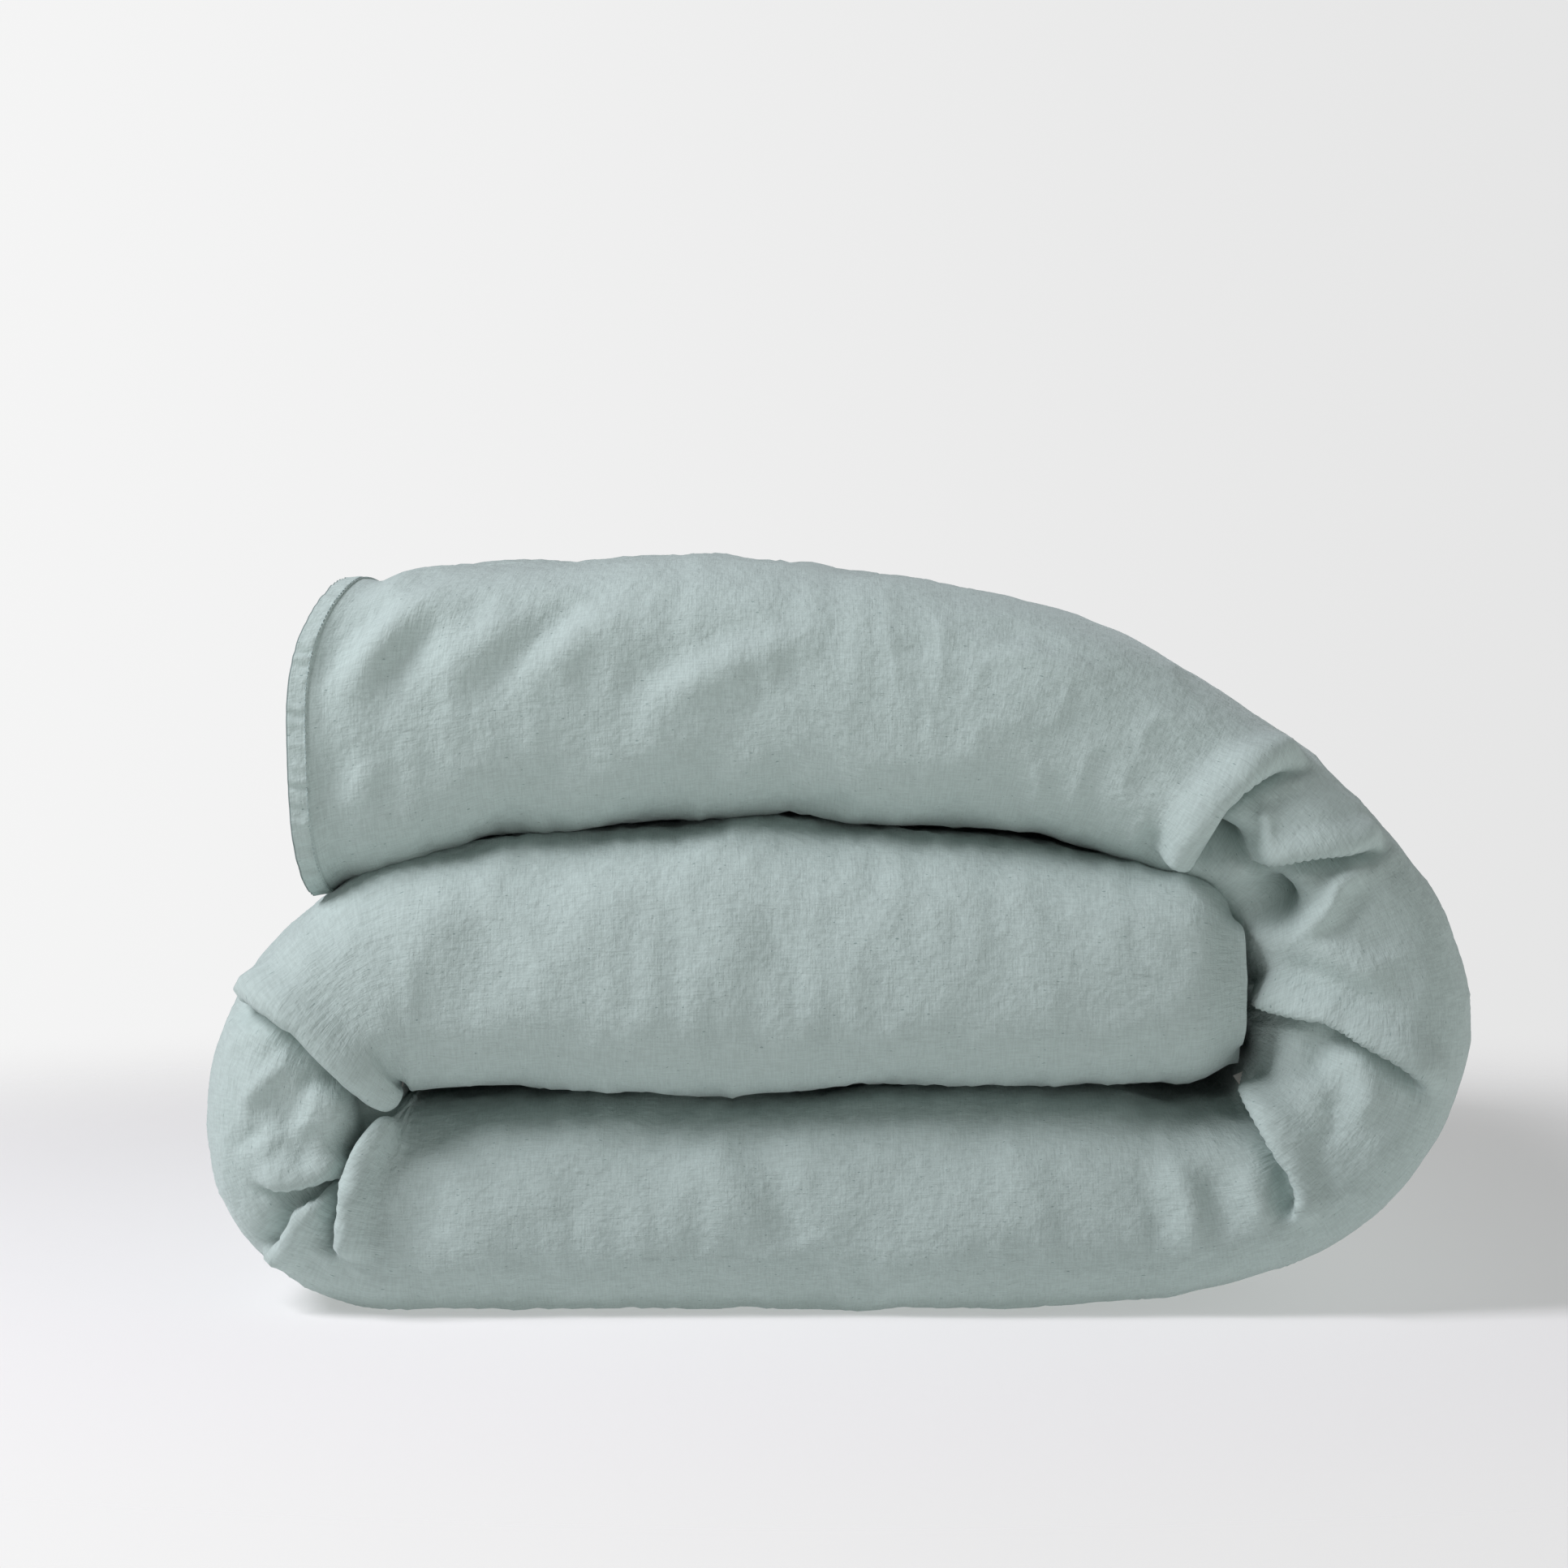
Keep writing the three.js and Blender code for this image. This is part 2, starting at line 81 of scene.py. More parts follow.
# The strip's centre line, as points and directions against the distance along it, and its named places.
def layOutStrip(s, count=121):
    length, width = s["coverLength"] * s["takeUp"], s["coverWidth"] * s["takeUp"]
    bottomZ = s["bottomHeight"] / 2
    middleZ = s["bottomHeight"] + s["gap"] + s["middleHeight"] / 2
    topZ = s["bottomHeight"] + s["middleHeight"] + 2 * s["gap"] + s["topHeight"] / 2
    radius = (middleZ - bottomZ) / 2
    drop = topZ - bottomZ - s["lowerRise"]
    ux, uz, ua, ul = quarterArc(s["upperReach"], drop)
    lx, lz, la, ll = quarterArc(s["lowerReach"], s["lowerRise"])
    leftLength = math.pi * radius
    run = (length - ul[-1] - ll[-1] - leftLength + s["headSetBack"] - s["footReach"]) / 3
    leftX = -(run + s["lowerReach"] - radius + (s["rightBendHeight"] - s["leftBendHeight"]) / 2) / 2
    rightX = leftX + run
    topEndX = rightX + s["lowerReach"] - s["upperReach"]
    topEnd = run - s["headSetBack"]
    farPoint = topEnd + ul[-1]
    bottomStart = farPoint + ll[-1]
    leftStart = bottomStart + run
    leftEnd = leftStart + leftLength
    turn = np.linspace(0, math.pi, count)
    places = np.concatenate([
        [0], topEnd + ul, bottomStart - ll[::-1][1:], leftStart + turn * radius, [length]])
    x = np.concatenate([
        [topEndX - topEnd], topEndX + ux, rightX + lx[::-1][1:], leftX - radius * np.sin(turn),
        [leftX + length - leftEnd]])
    z = np.concatenate([[topZ], topZ - drop + uz, bottomZ + s["lowerRise"] - lz[::-1][1:],
                        bottomZ + radius * (1 - np.cos(turn)), [middleZ]])
    angle = np.concatenate([[0], ua, -math.pi - la[::-1][1:], -math.pi - turn, [-2 * math.pi]])
    heights = [
        (0, s["topHeight"]), (topEnd, s["topHeight"]),
        (topEnd + ul[-1] * s["upperCorner"], s["upperCornerHeight"]), (farPoint, s["rightBendHeight"]),
        (farPoint + ll[-1] * s["lowerCorner"], s["lowerCornerHeight"]),
        (bottomStart + s["endTaper"], s["bottomHeight"]), (leftStart, s["bottomHeight"]),
        (leftStart + leftLength * s["leftFoot"], s["leftBendFootHeight"]),
        (leftStart + leftLength * s["leftFar"], s["leftBendHeight"]),
        (leftStart + leftLength * s["leftTop"], s["leftBendHeight"]),
        (leftEnd, s["bottomHeight"]), (leftEnd + 2 * s["endTaper"], s["middleHeight"]),
        (length - s["endTaper"], s["footHeight"]), (length, s["footHeight"]),
    ]
    loft = s["topHeight"] / 2
    frontLength = math.pi * loft / 2
    return {
        "places": places, "x": x, "z": z, "angle": angle, "heights": np.array(heights), "loft": loft,
        "length": length, "width": width, "frontLength": frontLength, "sideRun": (width - frontLength) / 2,
        "topEnd": topEnd, "lift": topEnd + ul[-1] * s["liftShare"],
        "bottomStart": bottomStart, "leftStart": leftStart, "leftEnd": leftEnd,
    }


line = layOutStrip(strip)


# From 0 to 1 with no slope at either end: three times the square less twice the cube.
def eased(t):
    t = np.clip(t, 0, 1)
    return t * t * (3 - 2 * t)


# A bell curve: 1 in its middle, and 1/e at its spread.
def bell(distance, spread=1.0):
    return np.exp(-((distance / spread) ** 2))


# The leaf's height, eased between the places that set it.
def leafHeight(along):
    at, height = line["heights"][:, 0], line["heights"][:, 1]
    i = np.clip(np.searchsorted(at, along, side="left"), 1, len(at) - 1)
    share = eased((along - at[i - 1]) / (at[i] - at[i - 1]))
    return height[i - 1] + (height[i] - height[i - 1]) * share


# Flat to folded: the front fold is a superellipse of this fullness, and the strip follows its centre line.
def foldMap(along, across, out, fullness=strip["innerFullness"]):
    x = np.interp(along, line["places"], line["x"]) + np.minimum(along, 0)
    z = np.interp(along, line["places"], line["z"])
    angle = np.interp(along, line["places"], line["angle"])
    scale = leafHeight(along) / strip["topHeight"]
    turn = np.clip((across - line["sideRun"]) / line["frontLength"], 0, 1) * math.pi
    power = 2 / fullness
    offset = out * np.sign(np.cos(turn)) * np.abs(np.cos(turn)) ** power
    flat = np.maximum(line["sideRun"] - across, 0) + np.maximum(across - line["width"] + line["sideRun"], 0)
    y = flat - out * np.abs(np.sin(turn)) ** power
    return np.stack([x - np.sin(angle) * offset * scale, y, z + np.cos(angle) * offset * scale], axis=-1)


# A quarter of a sine, from 0 up to 1 at the taper's end.
def rise(distance, taper):
    return np.sin(math.pi / 2 * np.clip(distance / taper, 0, 1))


# Half the thickness between the two panels: the full loft, closing down to the cloth at all four seams.
def halfLoft(along, across):
    ends = rise(np.minimum(along, line["length"] - along), strip["endTaper"])
    sides = rise(np.minimum(across, line["width"] - across), strip["sideTaper"])
    seam = strip["cloth"] + strip["clearance"] / 2
    return np.maximum(seam, (line["loft"] / 2 - strip["clearance"]) * ends * sides)


# The seam between the two panels lies here; at the head's front corner it stands nearly as wide as the leaf.
def midLoft(along, across):
    ends = rise(np.minimum(np.maximum(along, 0), line["length"] - along), strip["endTaper"])
    before = across - line["sideRun"] + strip["flareBefore"]
    after = line["width"] - line["sideRun"] + strip["flareBefore"] - across
    inFront = eased(before / strip["flareFade"]) * eased(after / strip["flareFade"])
    headFlare = strip["headFlare"] + strip["frontFlare"] * inFront
    flare = np.where(along < line["length"] / 2, headFlare, strip["footFlare"])
    return line["loft"] / 2 * (1 + flare * (1 - ends))


# The hinge lies just above the upper cloth, which sets where the strip stands in the frame.
hinge = np.array(frame["joints"][0]["pos_m"])
shift = hinge - foldMap(line["lift"], line["sideRun"] / 2, line["loft"] + strip["hingeAbove"])
print("strip laid out, shift", shift.round(4))


# Places along one side of a grid, at each span's own step.
def stations(*spans):
    parts = [np.linspace(a, b, max(1, round((b - a) / step)), endpoint=False) for a, b, step in spans]
    return np.concatenate([*parts, [spans[-1][1]]])


# Real length round the leaf's outer cloth, against the flat place across it: the front fold stretches it.
def layOutSection(count=6001):
    across = np.linspace(0, line["width"], count)
    points = foldMap(0 * across + line["topEnd"] / 2, across, line["loft"], strip["outerFullness"])
    return across, np.concatenate([[0], np.cumsum(np.linalg.norm(np.diff(points, axis=0), axis=1))])


section = layOutSection()


# Places across the leaf that lie evenly on its outer cloth.
def evenStations(start, end, step):
    lengths = stations((*np.interp([start, end], *section), step))
    return np.interp(lengths, section[1], section[0])


# How the pile settles, seen from the front: (place along X, rise) pairs for each leaf's edge, in metres.
settling = {
    "topLeafFoot": [
        (-0.36, -0.040), (-0.286, -0.021), (-0.223, 0.0), (-0.118, 0.010), (-0.063, 0.012), (-0.030, 0.018),
        (0.013, 0.009), (0.117, 0.007), (0.170, 0.002), (0.230, -0.011), (0.28, -0.008)],
    "topLine": [
        (-0.35, -0.008), (-0.31, -0.003), (-0.24, 0.002), (-0.08, 0.006), (0.0, 0.0), (0.08, -0.004),
        (0.2, 0.0)],
    "middleLeafHead": [
        (-0.30, 0.0), (-0.223, 0.008), (-0.118, 0.015), (-0.05, 0.020), (0.013, 0.017), (0.117, 0.014),
        (0.170, 0.008), (0.230, -0.002), (0.268, -0.006)],
    "bottomLeafHead": [
        (-0.30, 0.0), (-0.2, 0.002), (0.0, 0.004), (0.10, 0.008), (0.20, 0.014), (0.27, 0.016), (0.33, 0.008),
        (0.38, 0.0)],
    "lowerLine": [
        (-0.31, -0.013), (-0.26, -0.009), (-0.2, -0.006), (0.2, -0.006), (0.24, -0.008), (0.262, -0.015),
        (0.29, -0.004)],
    # the heights of the pile's top and of the two lines between its leaves
    "top": 0.484, "upperCrease": 0.307, "lowerCrease": 0.147, "creaseReach": 0.05,
    # where each leaf's own rises begin and end along the strip
    "fade": 0.12, "middleStart": 0.10, "bottomBefore": 0.15, "bottomRise": 0.2, "bottomAfter": 0.1,
    "bottomFall": 0.15,
    # the middle leaf's front hangs over the bottom leaf's
    "middleForward": 0.014, "forwardReach": 0.12, "bottomBack": 0.010, "backFrom": 0.05, "backReach": 0.09,
    # the head end leans back at its top and bottom edges
    "headLean": 0.031, "footLean": 0.007, "headReach": 0.16, "headTurn": 0.5, "footTurn": 0.6,
    # the middle leaf's end is pulled out at its front
    "endStretch": 0.020, "endReach": 0.13, "endFront": -0.36, "frontFade": 0.10,
    # the bends fill out at their front, and the right bend's inner cloth slumps against the middle leaf's end
    "leftFill": 0.010, "bendFill": 0.020, "fillTurn": 0.4,
    # the pile's outline, pressed in or filled out: (direction from its middle in degrees, rise in metres)
    "outline": [
        (-180, -0.007), (-165, 0.0), (-150, 0.008), (-140, 0.007), (-120, 0.0), (-90, 0.0), (-60, 0.0),
        (-45, 0.005), (-32, 0.012), (-20, 0.009), (-10, 0.006), (0, 0.006), (10, 0.013), (20, 0.022),
        (30, 0.015), (40, 0.008), (50, 0.002), (60, -0.003), (72, -0.005), (82, -0.005), (95, -0.001),
        (130, 0.0), (140, 0.003), (160, -0.002), (172, -0.007), (180, -0.007)],
    "middle": 0.242, "halfAcross": 0.405, "outlineFrom": 0.6,
}


# Straight lines between (place, value) knots.
def knotsAt(place, knots):
    return np.interp(place, *zip(*knots))


# How far each leaf's edges rise or drop, from the front view's place and height.
def leafRise(x, z, along, onMiddle, onBottom, front, s):
    onTop = 1 - eased((along - line["lift"] + s["fade"]) / (2 * s["fade"]))
    weightTop = eased((s["top"] - z) / (s["top"] - s["upperCrease"]))
    weightMiddle = eased((z - s["lowerCrease"]) / (s["upperCrease"] - s["lowerCrease"]))
    crease = bell(z - s["lowerCrease"], s["creaseReach"]) * front
    total = onTop * weightTop * knotsAt(x, s["topLeafFoot"])
    total += onTop * (1 - weightTop) * knotsAt(x, s["topLine"])
    total += onMiddle * weightMiddle * knotsAt(x, s["middleLeafHead"])
    total += onBottom * eased(z / s["lowerCrease"]) * knotsAt(x, s["bottomLeafHead"])
    return total + crease * knotsAt(x, s["lowerLine"])


# Moves the leaves' edges up or down, leans the head end, and shapes the bends and the outline.
def settle(points, along, across, s):
    x, y, z = points[..., 0], points[..., 1], points[..., 2]
    onMiddle = eased((along - line["leftStart"] - s["middleStart"]) / s["fade"])
    onMiddle = onMiddle * eased((line["length"] - along) / s["fade"])
    onBottom = eased((along - line["bottomStart"] + s["bottomBefore"]) / s["bottomRise"])
    onBottom = onBottom * eased((line["leftStart"] + s["bottomAfter"] - along) / s["bottomFall"])
    front = eased((s["endFront"] + s["frontFade"] - y) / (2 * s["frontFade"]))
    shiftZ = leafRise(x, z, along, onMiddle, onBottom, front, s)
    forward = onMiddle * s["middleForward"] * eased((s["upperCrease"] - z) / s["forwardReach"])
    forward -= onBottom * s["bottomBack"] * eased((z - s["backFrom"]) / s["backReach"])
    turn = np.clip((across - line["sideRun"]) / line["frontLength"], 0, 1)
    lean = s["headLean"] * (1 - eased(turn / s["headTurn"]))
    lean = lean + s["footLean"] * eased((turn - s["footTurn"]) / (1 - s["footTurn"]))
    rightBend = np.clip((along - line["topEnd"]) / (line["bottomStart"] - line["topEnd"]), 0, 1)
    leftBend = np.clip((along - line["leftStart"]) / (line["leftEnd"] - line["leftStart"]), 0, 1)
    fill = s["bendFill"] * np.sin(math.pi * eased(rightBend)) + s["leftFill"] * np.sin(math.pi * leftBend)
    fill *= eased((turn - s["fillTurn"]) / (1 - s["fillTurn"]))
    angle = np.interp(along, line["places"], line["angle"])
    pulled = s["endStretch"] * eased((along - line["length"] + s["endReach"]) / s["endReach"])
    pulled = pulled * eased((s["endFront"] - y) / s["frontFade"])
    height = z - s["middle"]
    far = np.hypot(x / s["halfAcross"], height / s["middle"])
    swell = knotsAt(np.degrees(np.arctan2(height, x)), s["outline"])
    swell = swell * eased((far - s["outlineFrom"]) / (1 - s["outlineFrom"]))
    fromMiddle = np.maximum(np.hypot(x, height), 1e-9)
    moved = points.copy()
    moved[..., 0] += lean * bell(along, s["headReach"]) + np.sin(angle) * fill + pulled
    moved[..., 0] += swell * x / fromMiddle
    moved[..., 1] -= forward * front
    moved[..., 2] += shiftZ - np.cos(angle) * fill + swell * height / fromMiddle
    return moved


# Where a place on the folded duvet lies once the pile has settled.
def bedPoints(along, across, out, fullness=strip["outerFullness"]):
    upward, sideways = seamWave(along, across, seamWaves)
    points = foldMap(along, across, out + upward, fullness) + shift
    points[..., 1] -= sideways
    return settle(points, along, across, settling)


# Unit normals from the grid's own tangents, turned the way that out grows.
def outwardNormals(points, along, across, out):
    normal = np.cross(np.gradient(points, axis=0), np.gradient(points, axis=1))
    normal /= np.maximum(np.linalg.norm(normal, axis=-1, keepdims=True), 1e-12)
    ahead = foldMap(along, across, out + strip["cloth"]) - foldMap(along, across, out)
    return np.where((normal * ahead).sum(-1, keepdims=True) < 0, -normal, normal)


# A smooth curve through the knots, by chord length, as evenly shared points.
def smoothLine(knots, count=40):
    knots = np.array(knots, float)
    share = np.concatenate([[0], np.cumsum(np.linalg.norm(np.diff(knots, axis=0), axis=1))])
    tangent = np.gradient(knots, share, axis=0)
    t = np.linspace(0, share[-1], count)
    i = np.clip(np.searchsorted(share, t, side="right") - 1, 0, len(knots) - 2)
    width = (share[i + 1] - share[i])[:, None]
    u = ((t - share[i]) / width[:, 0])[:, None]
    bend = (u**3 - 2 * u**2 + u) * tangent[i] + (u**3 - u**2) * tangent[i + 1]
    return (2 * u**3 - 3 * u**2 + 1) * knots[i] + (3 * u**2 - 2 * u**3) * knots[i + 1] + width * bend


# For each point of the front view: its share along the line, its distance to the line's left, and which way
# left is there.
def alongLine(x, z, knots):
    curve = smoothLine(knots)
    best = np.full(x.shape, 1e9)
    share, side = np.zeros(x.shape), np.zeros(x.shape)
    leftX, leftZ = np.zeros(x.shape), np.zeros(x.shape)
    for (ax, az), (bx, bz), i in zip(curve[:-1], curve[1:], range(len(curve))):
        dx, dz = bx - ax, bz - az
        size = math.hypot(dx, dz)
        t = np.clip(((x - ax) * dx + (z - az) * dz) / size**2, 0, 1)
        gapX, gapZ = x - ax - t * dx, z - az - t * dz
        distance = np.hypot(gapX, gapZ)
        near = distance < best
        best = np.where(near, distance, best)
        share = np.where(near, (i + t) / (len(curve) - 1), share)
        side = np.where(near, np.where(gapZ * dx < gapX * dz, -1, 1), side)
        leftX, leftZ = np.where(near, -dz / size, leftX), np.where(near, dx / size, leftZ)
    return share, best * side, leftX, leftZ


# Folds with a lip, seen from the front as (X, Z) in mm: the cloth to the line's left rolls over what is to
# its right. Each is (line, crest height, trough depth, width, roll, shares over which its ends fade).
lips = [
    # the right bend, from the top leaf's end down to the floor
    ([(226, 292), (232, 306), (241, 322), (252, 337), (266, 348), (284, 355), (303, 358), (325, 355)],
     10, 14, 12, 8, (0.06, 0.5)),
    ([(262, 290), (276, 296), (290, 299), (308, 302), (329, 303), (349, 306), (361, 302)],
     7, 13, 9, 7, (0.1, 0.2)),
    ([(269, 214), (285, 205), (303, 200), (316, 198), (329, 191), (344, 181), (365, 168), (378, 155),
      (384, 138)], 8, 12, 10, 8, (0.1, 0.2)),
    ([(272, 157), (277, 131), (285, 111), (295, 95), (299, 80), (294, 62)], 8, 13, 8, 6, (0.12, 0.15)),
    # the left bend
    ([(-394, 207), (-375, 206), (-358, 199), (-341, 190), (-327, 178), (-314, 166), (-302, 154), (-291, 145),
      (-276, 138)], 9, 15, 11, 8, (0.04, 0.14)),
    ([(-377, 87), (-352, 86), (-337, 89), (-322, 95), (-308, 97)], 5, 9, 8, 5, (0.35, 0.05)),
    ([(-308, 92), (-320, 87), (-331, 77), (-341, 72), (-350, 60), (-356, 48), (-371, 41)],
     7, 12, 8, 6, (0.08, 0.1)),
    ([(-283, 131), (-293, 123), (-303, 111), (-309, 96), (-313, 75), (-317, 55), (-320, 38)],
     9, 15, 9, 7, (0.14, 0.12)),
]

# Soft ridges, and valleys where the height is below nought, in mm: (line, height, width).
ripples = [
    # the top leaf
    ([(-326, 400), (-311, 432), (-300, 448), (-289, 460), (-272, 470)], -6.0, 10),
    ([(-318, 392), (-300, 424), (-283, 444), (-258, 460), (-226, 470)], 6.0, 11),
    ([(-292, 400), (-275, 424), (-262, 440), (-245, 456)], -5.0, 9),
    ([(-262, 396), (-240, 424), (-214, 444), (-180, 458)], 4.5, 12),
    ([(-232, 392), (-210, 418), (-190, 440), (-160, 462), (-130, 472)], -5.0, 10),
    ([(-204, 396), (-176, 426), (-140, 450), (-100, 464)], 4.0, 12),
    ([(-150, 390), (-110, 420), (-74, 439), (-40, 448), (-10, 450)], -4.0, 11),
    ([(-120, 384), (-85, 412), (-45, 430), (0, 440)], 3.0, 12),
    ([(-322, 330), (-318, 352), (-306, 372)], -3.0, 8),
    ([(-308, 322), (-303, 345), (-292, 366)], 3.0, 8),
    ([(-280, 322), (-277, 345), (-270, 368)], -2.6, 8),
    ([(20, 420), (60, 434), (110, 436), (150, 428)], -1.8, 8),
    ([(60, 455), (110, 446), (170, 424), (220, 398)], -2.0, 6),
    ([(40, 446), (100, 438), (160, 418)], 1.8, 7),
    ([(-50, 318), (-30, 326), (-5, 331), (25, 333)], -4.0, 7),
    ([(195, 312), (221, 304)], -4.0, 9),
    # the right bend
    ([(249, 345), (267, 361), (283, 368), (311, 372)], 4.0, 7),
    ([(240, 306), (251, 322), (264, 334), (276, 341), (292, 347), (320, 352)], 8.0, 7),
    ([(271, 334), (277, 322), (277, 305)], 6.0, 5),
    ([(262, 285), (284, 286), (298, 291)], -6.0, 5),
    ([(358, 299), (334, 290), (324, 281), (318, 268), (303, 254), (284, 249)], 10.0, 8),
    ([(298, 250), (318, 237), (339, 227), (367, 217)], 6.0, 11),
    ([(275, 232), (300, 222), (330, 208), (355, 194)], -6.0, 11),
    ([(306, 192), (309, 173), (303, 152)], -8.0, 11),
    ([(326, 188), (339, 165), (343, 144), (341, 121)], 7.0, 10),
    ([(282, 150), (294, 128), (310, 103)], 5.0, 8),
    ([(320, 150), (322, 128), (322, 108)], -4.0, 8),
    ([(211, 113), (228, 80), (234, 36)], 6.0, 10),
    ([(190, 112), (206, 78), (214, 40)], -3.0, 10),
    ([(240, 105), (250, 75), (256, 45)], -4.0, 9),
    ([(262, 104), (272, 80), (280, 58)], 5.0, 8),
    # the left bend
    ([(-342, 178), (-354, 166), (-368, 150), (-384, 136)], 5.0, 6),
    ([(-362, 180), (-378, 172), (-390, 160)], -3.0, 9),
    ([(-375, 168), (-352, 172), (-330, 168)], -4.0, 8),
    ([(-344, 155), (-330, 158), (-318, 163)], -4.0, 8),
    ([(-345, 140), (-331, 134), (-312, 124)], 8.0, 20),
    ([(-350, 128), (-362, 116), (-378, 104)], 4.0, 8),
    ([(-393, 112), (-376, 117), (-362, 126)], -3.0, 7),
    ([(-340, 108), (-358, 100), (-370, 92)], 4.0, 9),
    ([(-343, 75), (-358, 66), (-372, 52)], -4.0, 9),
    ([(-322, 72), (-327, 50), (-322, 30)], 4.0, 5),
    ([(-300, 98), (-306, 72), (-313, 38)], 5.0, 6),
    # the middle leaf
    ([(-118, 284), (-105, 250), (-92, 221)], -3.0, 12),
    ([(-78, 280), (-66, 250), (-54, 224)], 2.6, 12),
    ([(-45, 268), (-32, 238), (-19, 211)], -2.4, 10),
    ([(128, 290), (148, 262), (160, 240)], -2.2, 10),
    ([(-250, 262), (-215, 236), (-190, 205)], -2.4, 14),
    ([(245, 165), (258, 160), (268, 148)], 3.0, 6),
    # the bottom leaf
    ([(-66, 132), (-38, 88), (-14, 33)], -4.0, 14),
    ([(-90, 128), (-66, 84), (-44, 36)], 3.0, 14),
    ([(110, 120), (124, 84), (128, 44)], 2.0, 13),
    ([(-270, 105), (-262, 76), (-268, 45)], -4.0, 15),
]

# Pockets where the cloth is drawn in behind its neighbours, in mm: (X, Z, radius along X, radius along Z,
# depth). A negative depth is a puff.
pockets = [
    (251, 307, 16, 10, 40), (311, 327, 36, 16, -7), (282, 269, 16, 13, 44), (270, 297, 10, 6, 16),
    (267, 160, 5, 15, 12), (287, 81, 4, 15, 6), (-315, 156, 11, 7, 10), (-288, 140, 10, 7, 14),
    (-344, 186, 9, 5, 7), (-374, 203, 16, 4, 6), (-315, 62, 4, 22, 6),
]

# How a lip is rolled: the step from trough to crest, and the crest's place and spread, in widths of the lip.
draping = {
    "strength": 1.55, "facing": 0.45, "step": 0.3, "crestAt": 0.7, "troughSpread": 1.1, "troughSlide": 0.7,
    "slideSpread": 0.9, "rippleFade": 0.35,
}


# Rolls the lips, raises the ripples and draws the pockets in, on the cloth that faces the front.
def drape(points, normals, c):
    facing = eased(-normals[..., 1] / c["facing"])
    near = facing > 0
    x, z = points[..., 0][near] * 1000, points[..., 2][near] * 1000
    height, moveX, moveZ = np.zeros(x.shape), np.zeros(x.shape), np.zeros(x.shape)
    for knots, crest, trough, width, roll, (start, end) in lips:
        share, side, leftX, leftZ = alongLine(x, z, knots)
        ends = c["strength"] * eased(share / start) * eased((1 - share) / end)
        u = side / width
        over = eased((u + c["step"]) / (2 * c["step"]))
        height += ends * over * crest * bell(u - c["crestAt"])
        height -= ends * (1 - over) * trough * bell(np.minimum(u, 0), c["troughSpread"])
        slide = roll * ends * (c["troughSlide"] * (1 - over) - over) * bell(u, c["slideSpread"])
        moveX += slide * leftX
        moveZ += slide * leftZ
    for knots, crest, width in ripples:
        share, side, leftX, leftZ = alongLine(x, z, knots)
        ends = eased(share / c["rippleFade"]) * eased((1 - share) / c["rippleFade"])
        height += crest * ends * bell(side, width)
    for centreX, centreZ, radiusX, radiusZ, depth in pockets:
        height -= depth * bell(x - centreX, radiusX) * bell(z - centreZ, radiusZ)
    moved = points.copy()
    moved[near] += normals[near] * (height * facing[near] / 1000)[:, None]
    moved[..., 0][near] += moveX * facing[near] / 1000
    moved[..., 2][near] += moveZ * facing[near] / 1000
    return moved


# Rounds off the grid's steps where it faces the front: each point moves towards the mean of its neighbours.
def soften(points, normals, passes=2, share=0.5, facing=0.3):
    weight = share * eased(-normals[1:-1, 1:-1, 1:2] / facing)
    for _ in range(passes):
        mean = (points[:-2, 1:-1] + points[2:, 1:-1] + points[1:-1, :-2] + points[1:-1, 2:]) / 4
        points[1:-1, 1:-1] += weight * (mean - points[1:-1, 1:-1])
    return points


# Smoothed random heights on a lattice of unit squares, from -1 to 1.
def softNoise(u, v, seed, size=128):
    table = np.random.default_rng(seed).uniform(-1, 1, (size, size))
    iu, iv = np.floor(u).astype(int), np.floor(v).astype(int)
    fu, fv = eased(u - iu), eased(v - iv)
    u0, u1, v0, v1 = iu % size, (iu + 1) % size, iv % size, (iv + 1) % size
    low = table[u0, v0] * (1 - fu) + table[u1, v0] * fu
    high = table[u0, v1] * (1 - fu) + table[u1, v1] * fu
    return low * (1 - fv) + high * fv


# The cloth's own unevenness, in metres: broad swells, slanting soft creases and a little fine crinkle.
# Each is (height, length along, length across).
crumpling = {
    "swells": (0.0030, 0.110, 0.085), "slants": (0.0022, 0.040, 0.150), "creases": (0.0010, 0.026, 0.040),
    "crinkle": (0.0004, 0.012, 0.014),
}


# Noise at the height and the two lengths of one row.
def rowNoise(row, u, v, seed):
    height, lengthU, lengthV = row
    return height * softNoise(u / lengthU, v / lengthV, seed)


# The slants run on axes turned by the angle of a 3-4-5 triangle.
def crumple(along, across, c):
    slant, level = along * 0.8 + across * 0.6, across * 0.8 - along * 0.6
    broad = rowNoise(c["swells"], along, across, 1) + rowNoise(c["slants"], slant, level, 2)
    height, lengthU, lengthV = c["creases"]
    crease = height * (1 - 2 * np.abs(softNoise(along / lengthU + 7, across / lengthV, 3)))
    return broad + crease + rowNoise(c["crinkle"], along, across, 4)


# Slow waves of the long seams at the back, shared by both panels, the insert and the hems, in metres.
# The two sides read the noise far apart, so that they differ.
seamWaves = {
    "reach": 0.30, "most": 1.1, "pull": 0.010, "pullLength": 0.130, "rise": 0.007, "riseLength": 0.091,
    "sidesApart": 40,
}


def seamWave(along, across, s):
    near = np.minimum(across, line["width"] - across)
    weight = np.clip(1 - near / s["reach"], 0, s["most"]) ** 2
    side = np.where(across < line["width"] / 2, 0.0, s["sidesApart"])
    sideways = s["pull"] * softNoise(along / s["pullLength"], side, 21) * weight
    upward = s["rise"] * softNoise(along / s["riseLength"], side + 0.5, 22) * weight   # half a cell on
    return upward, sideways


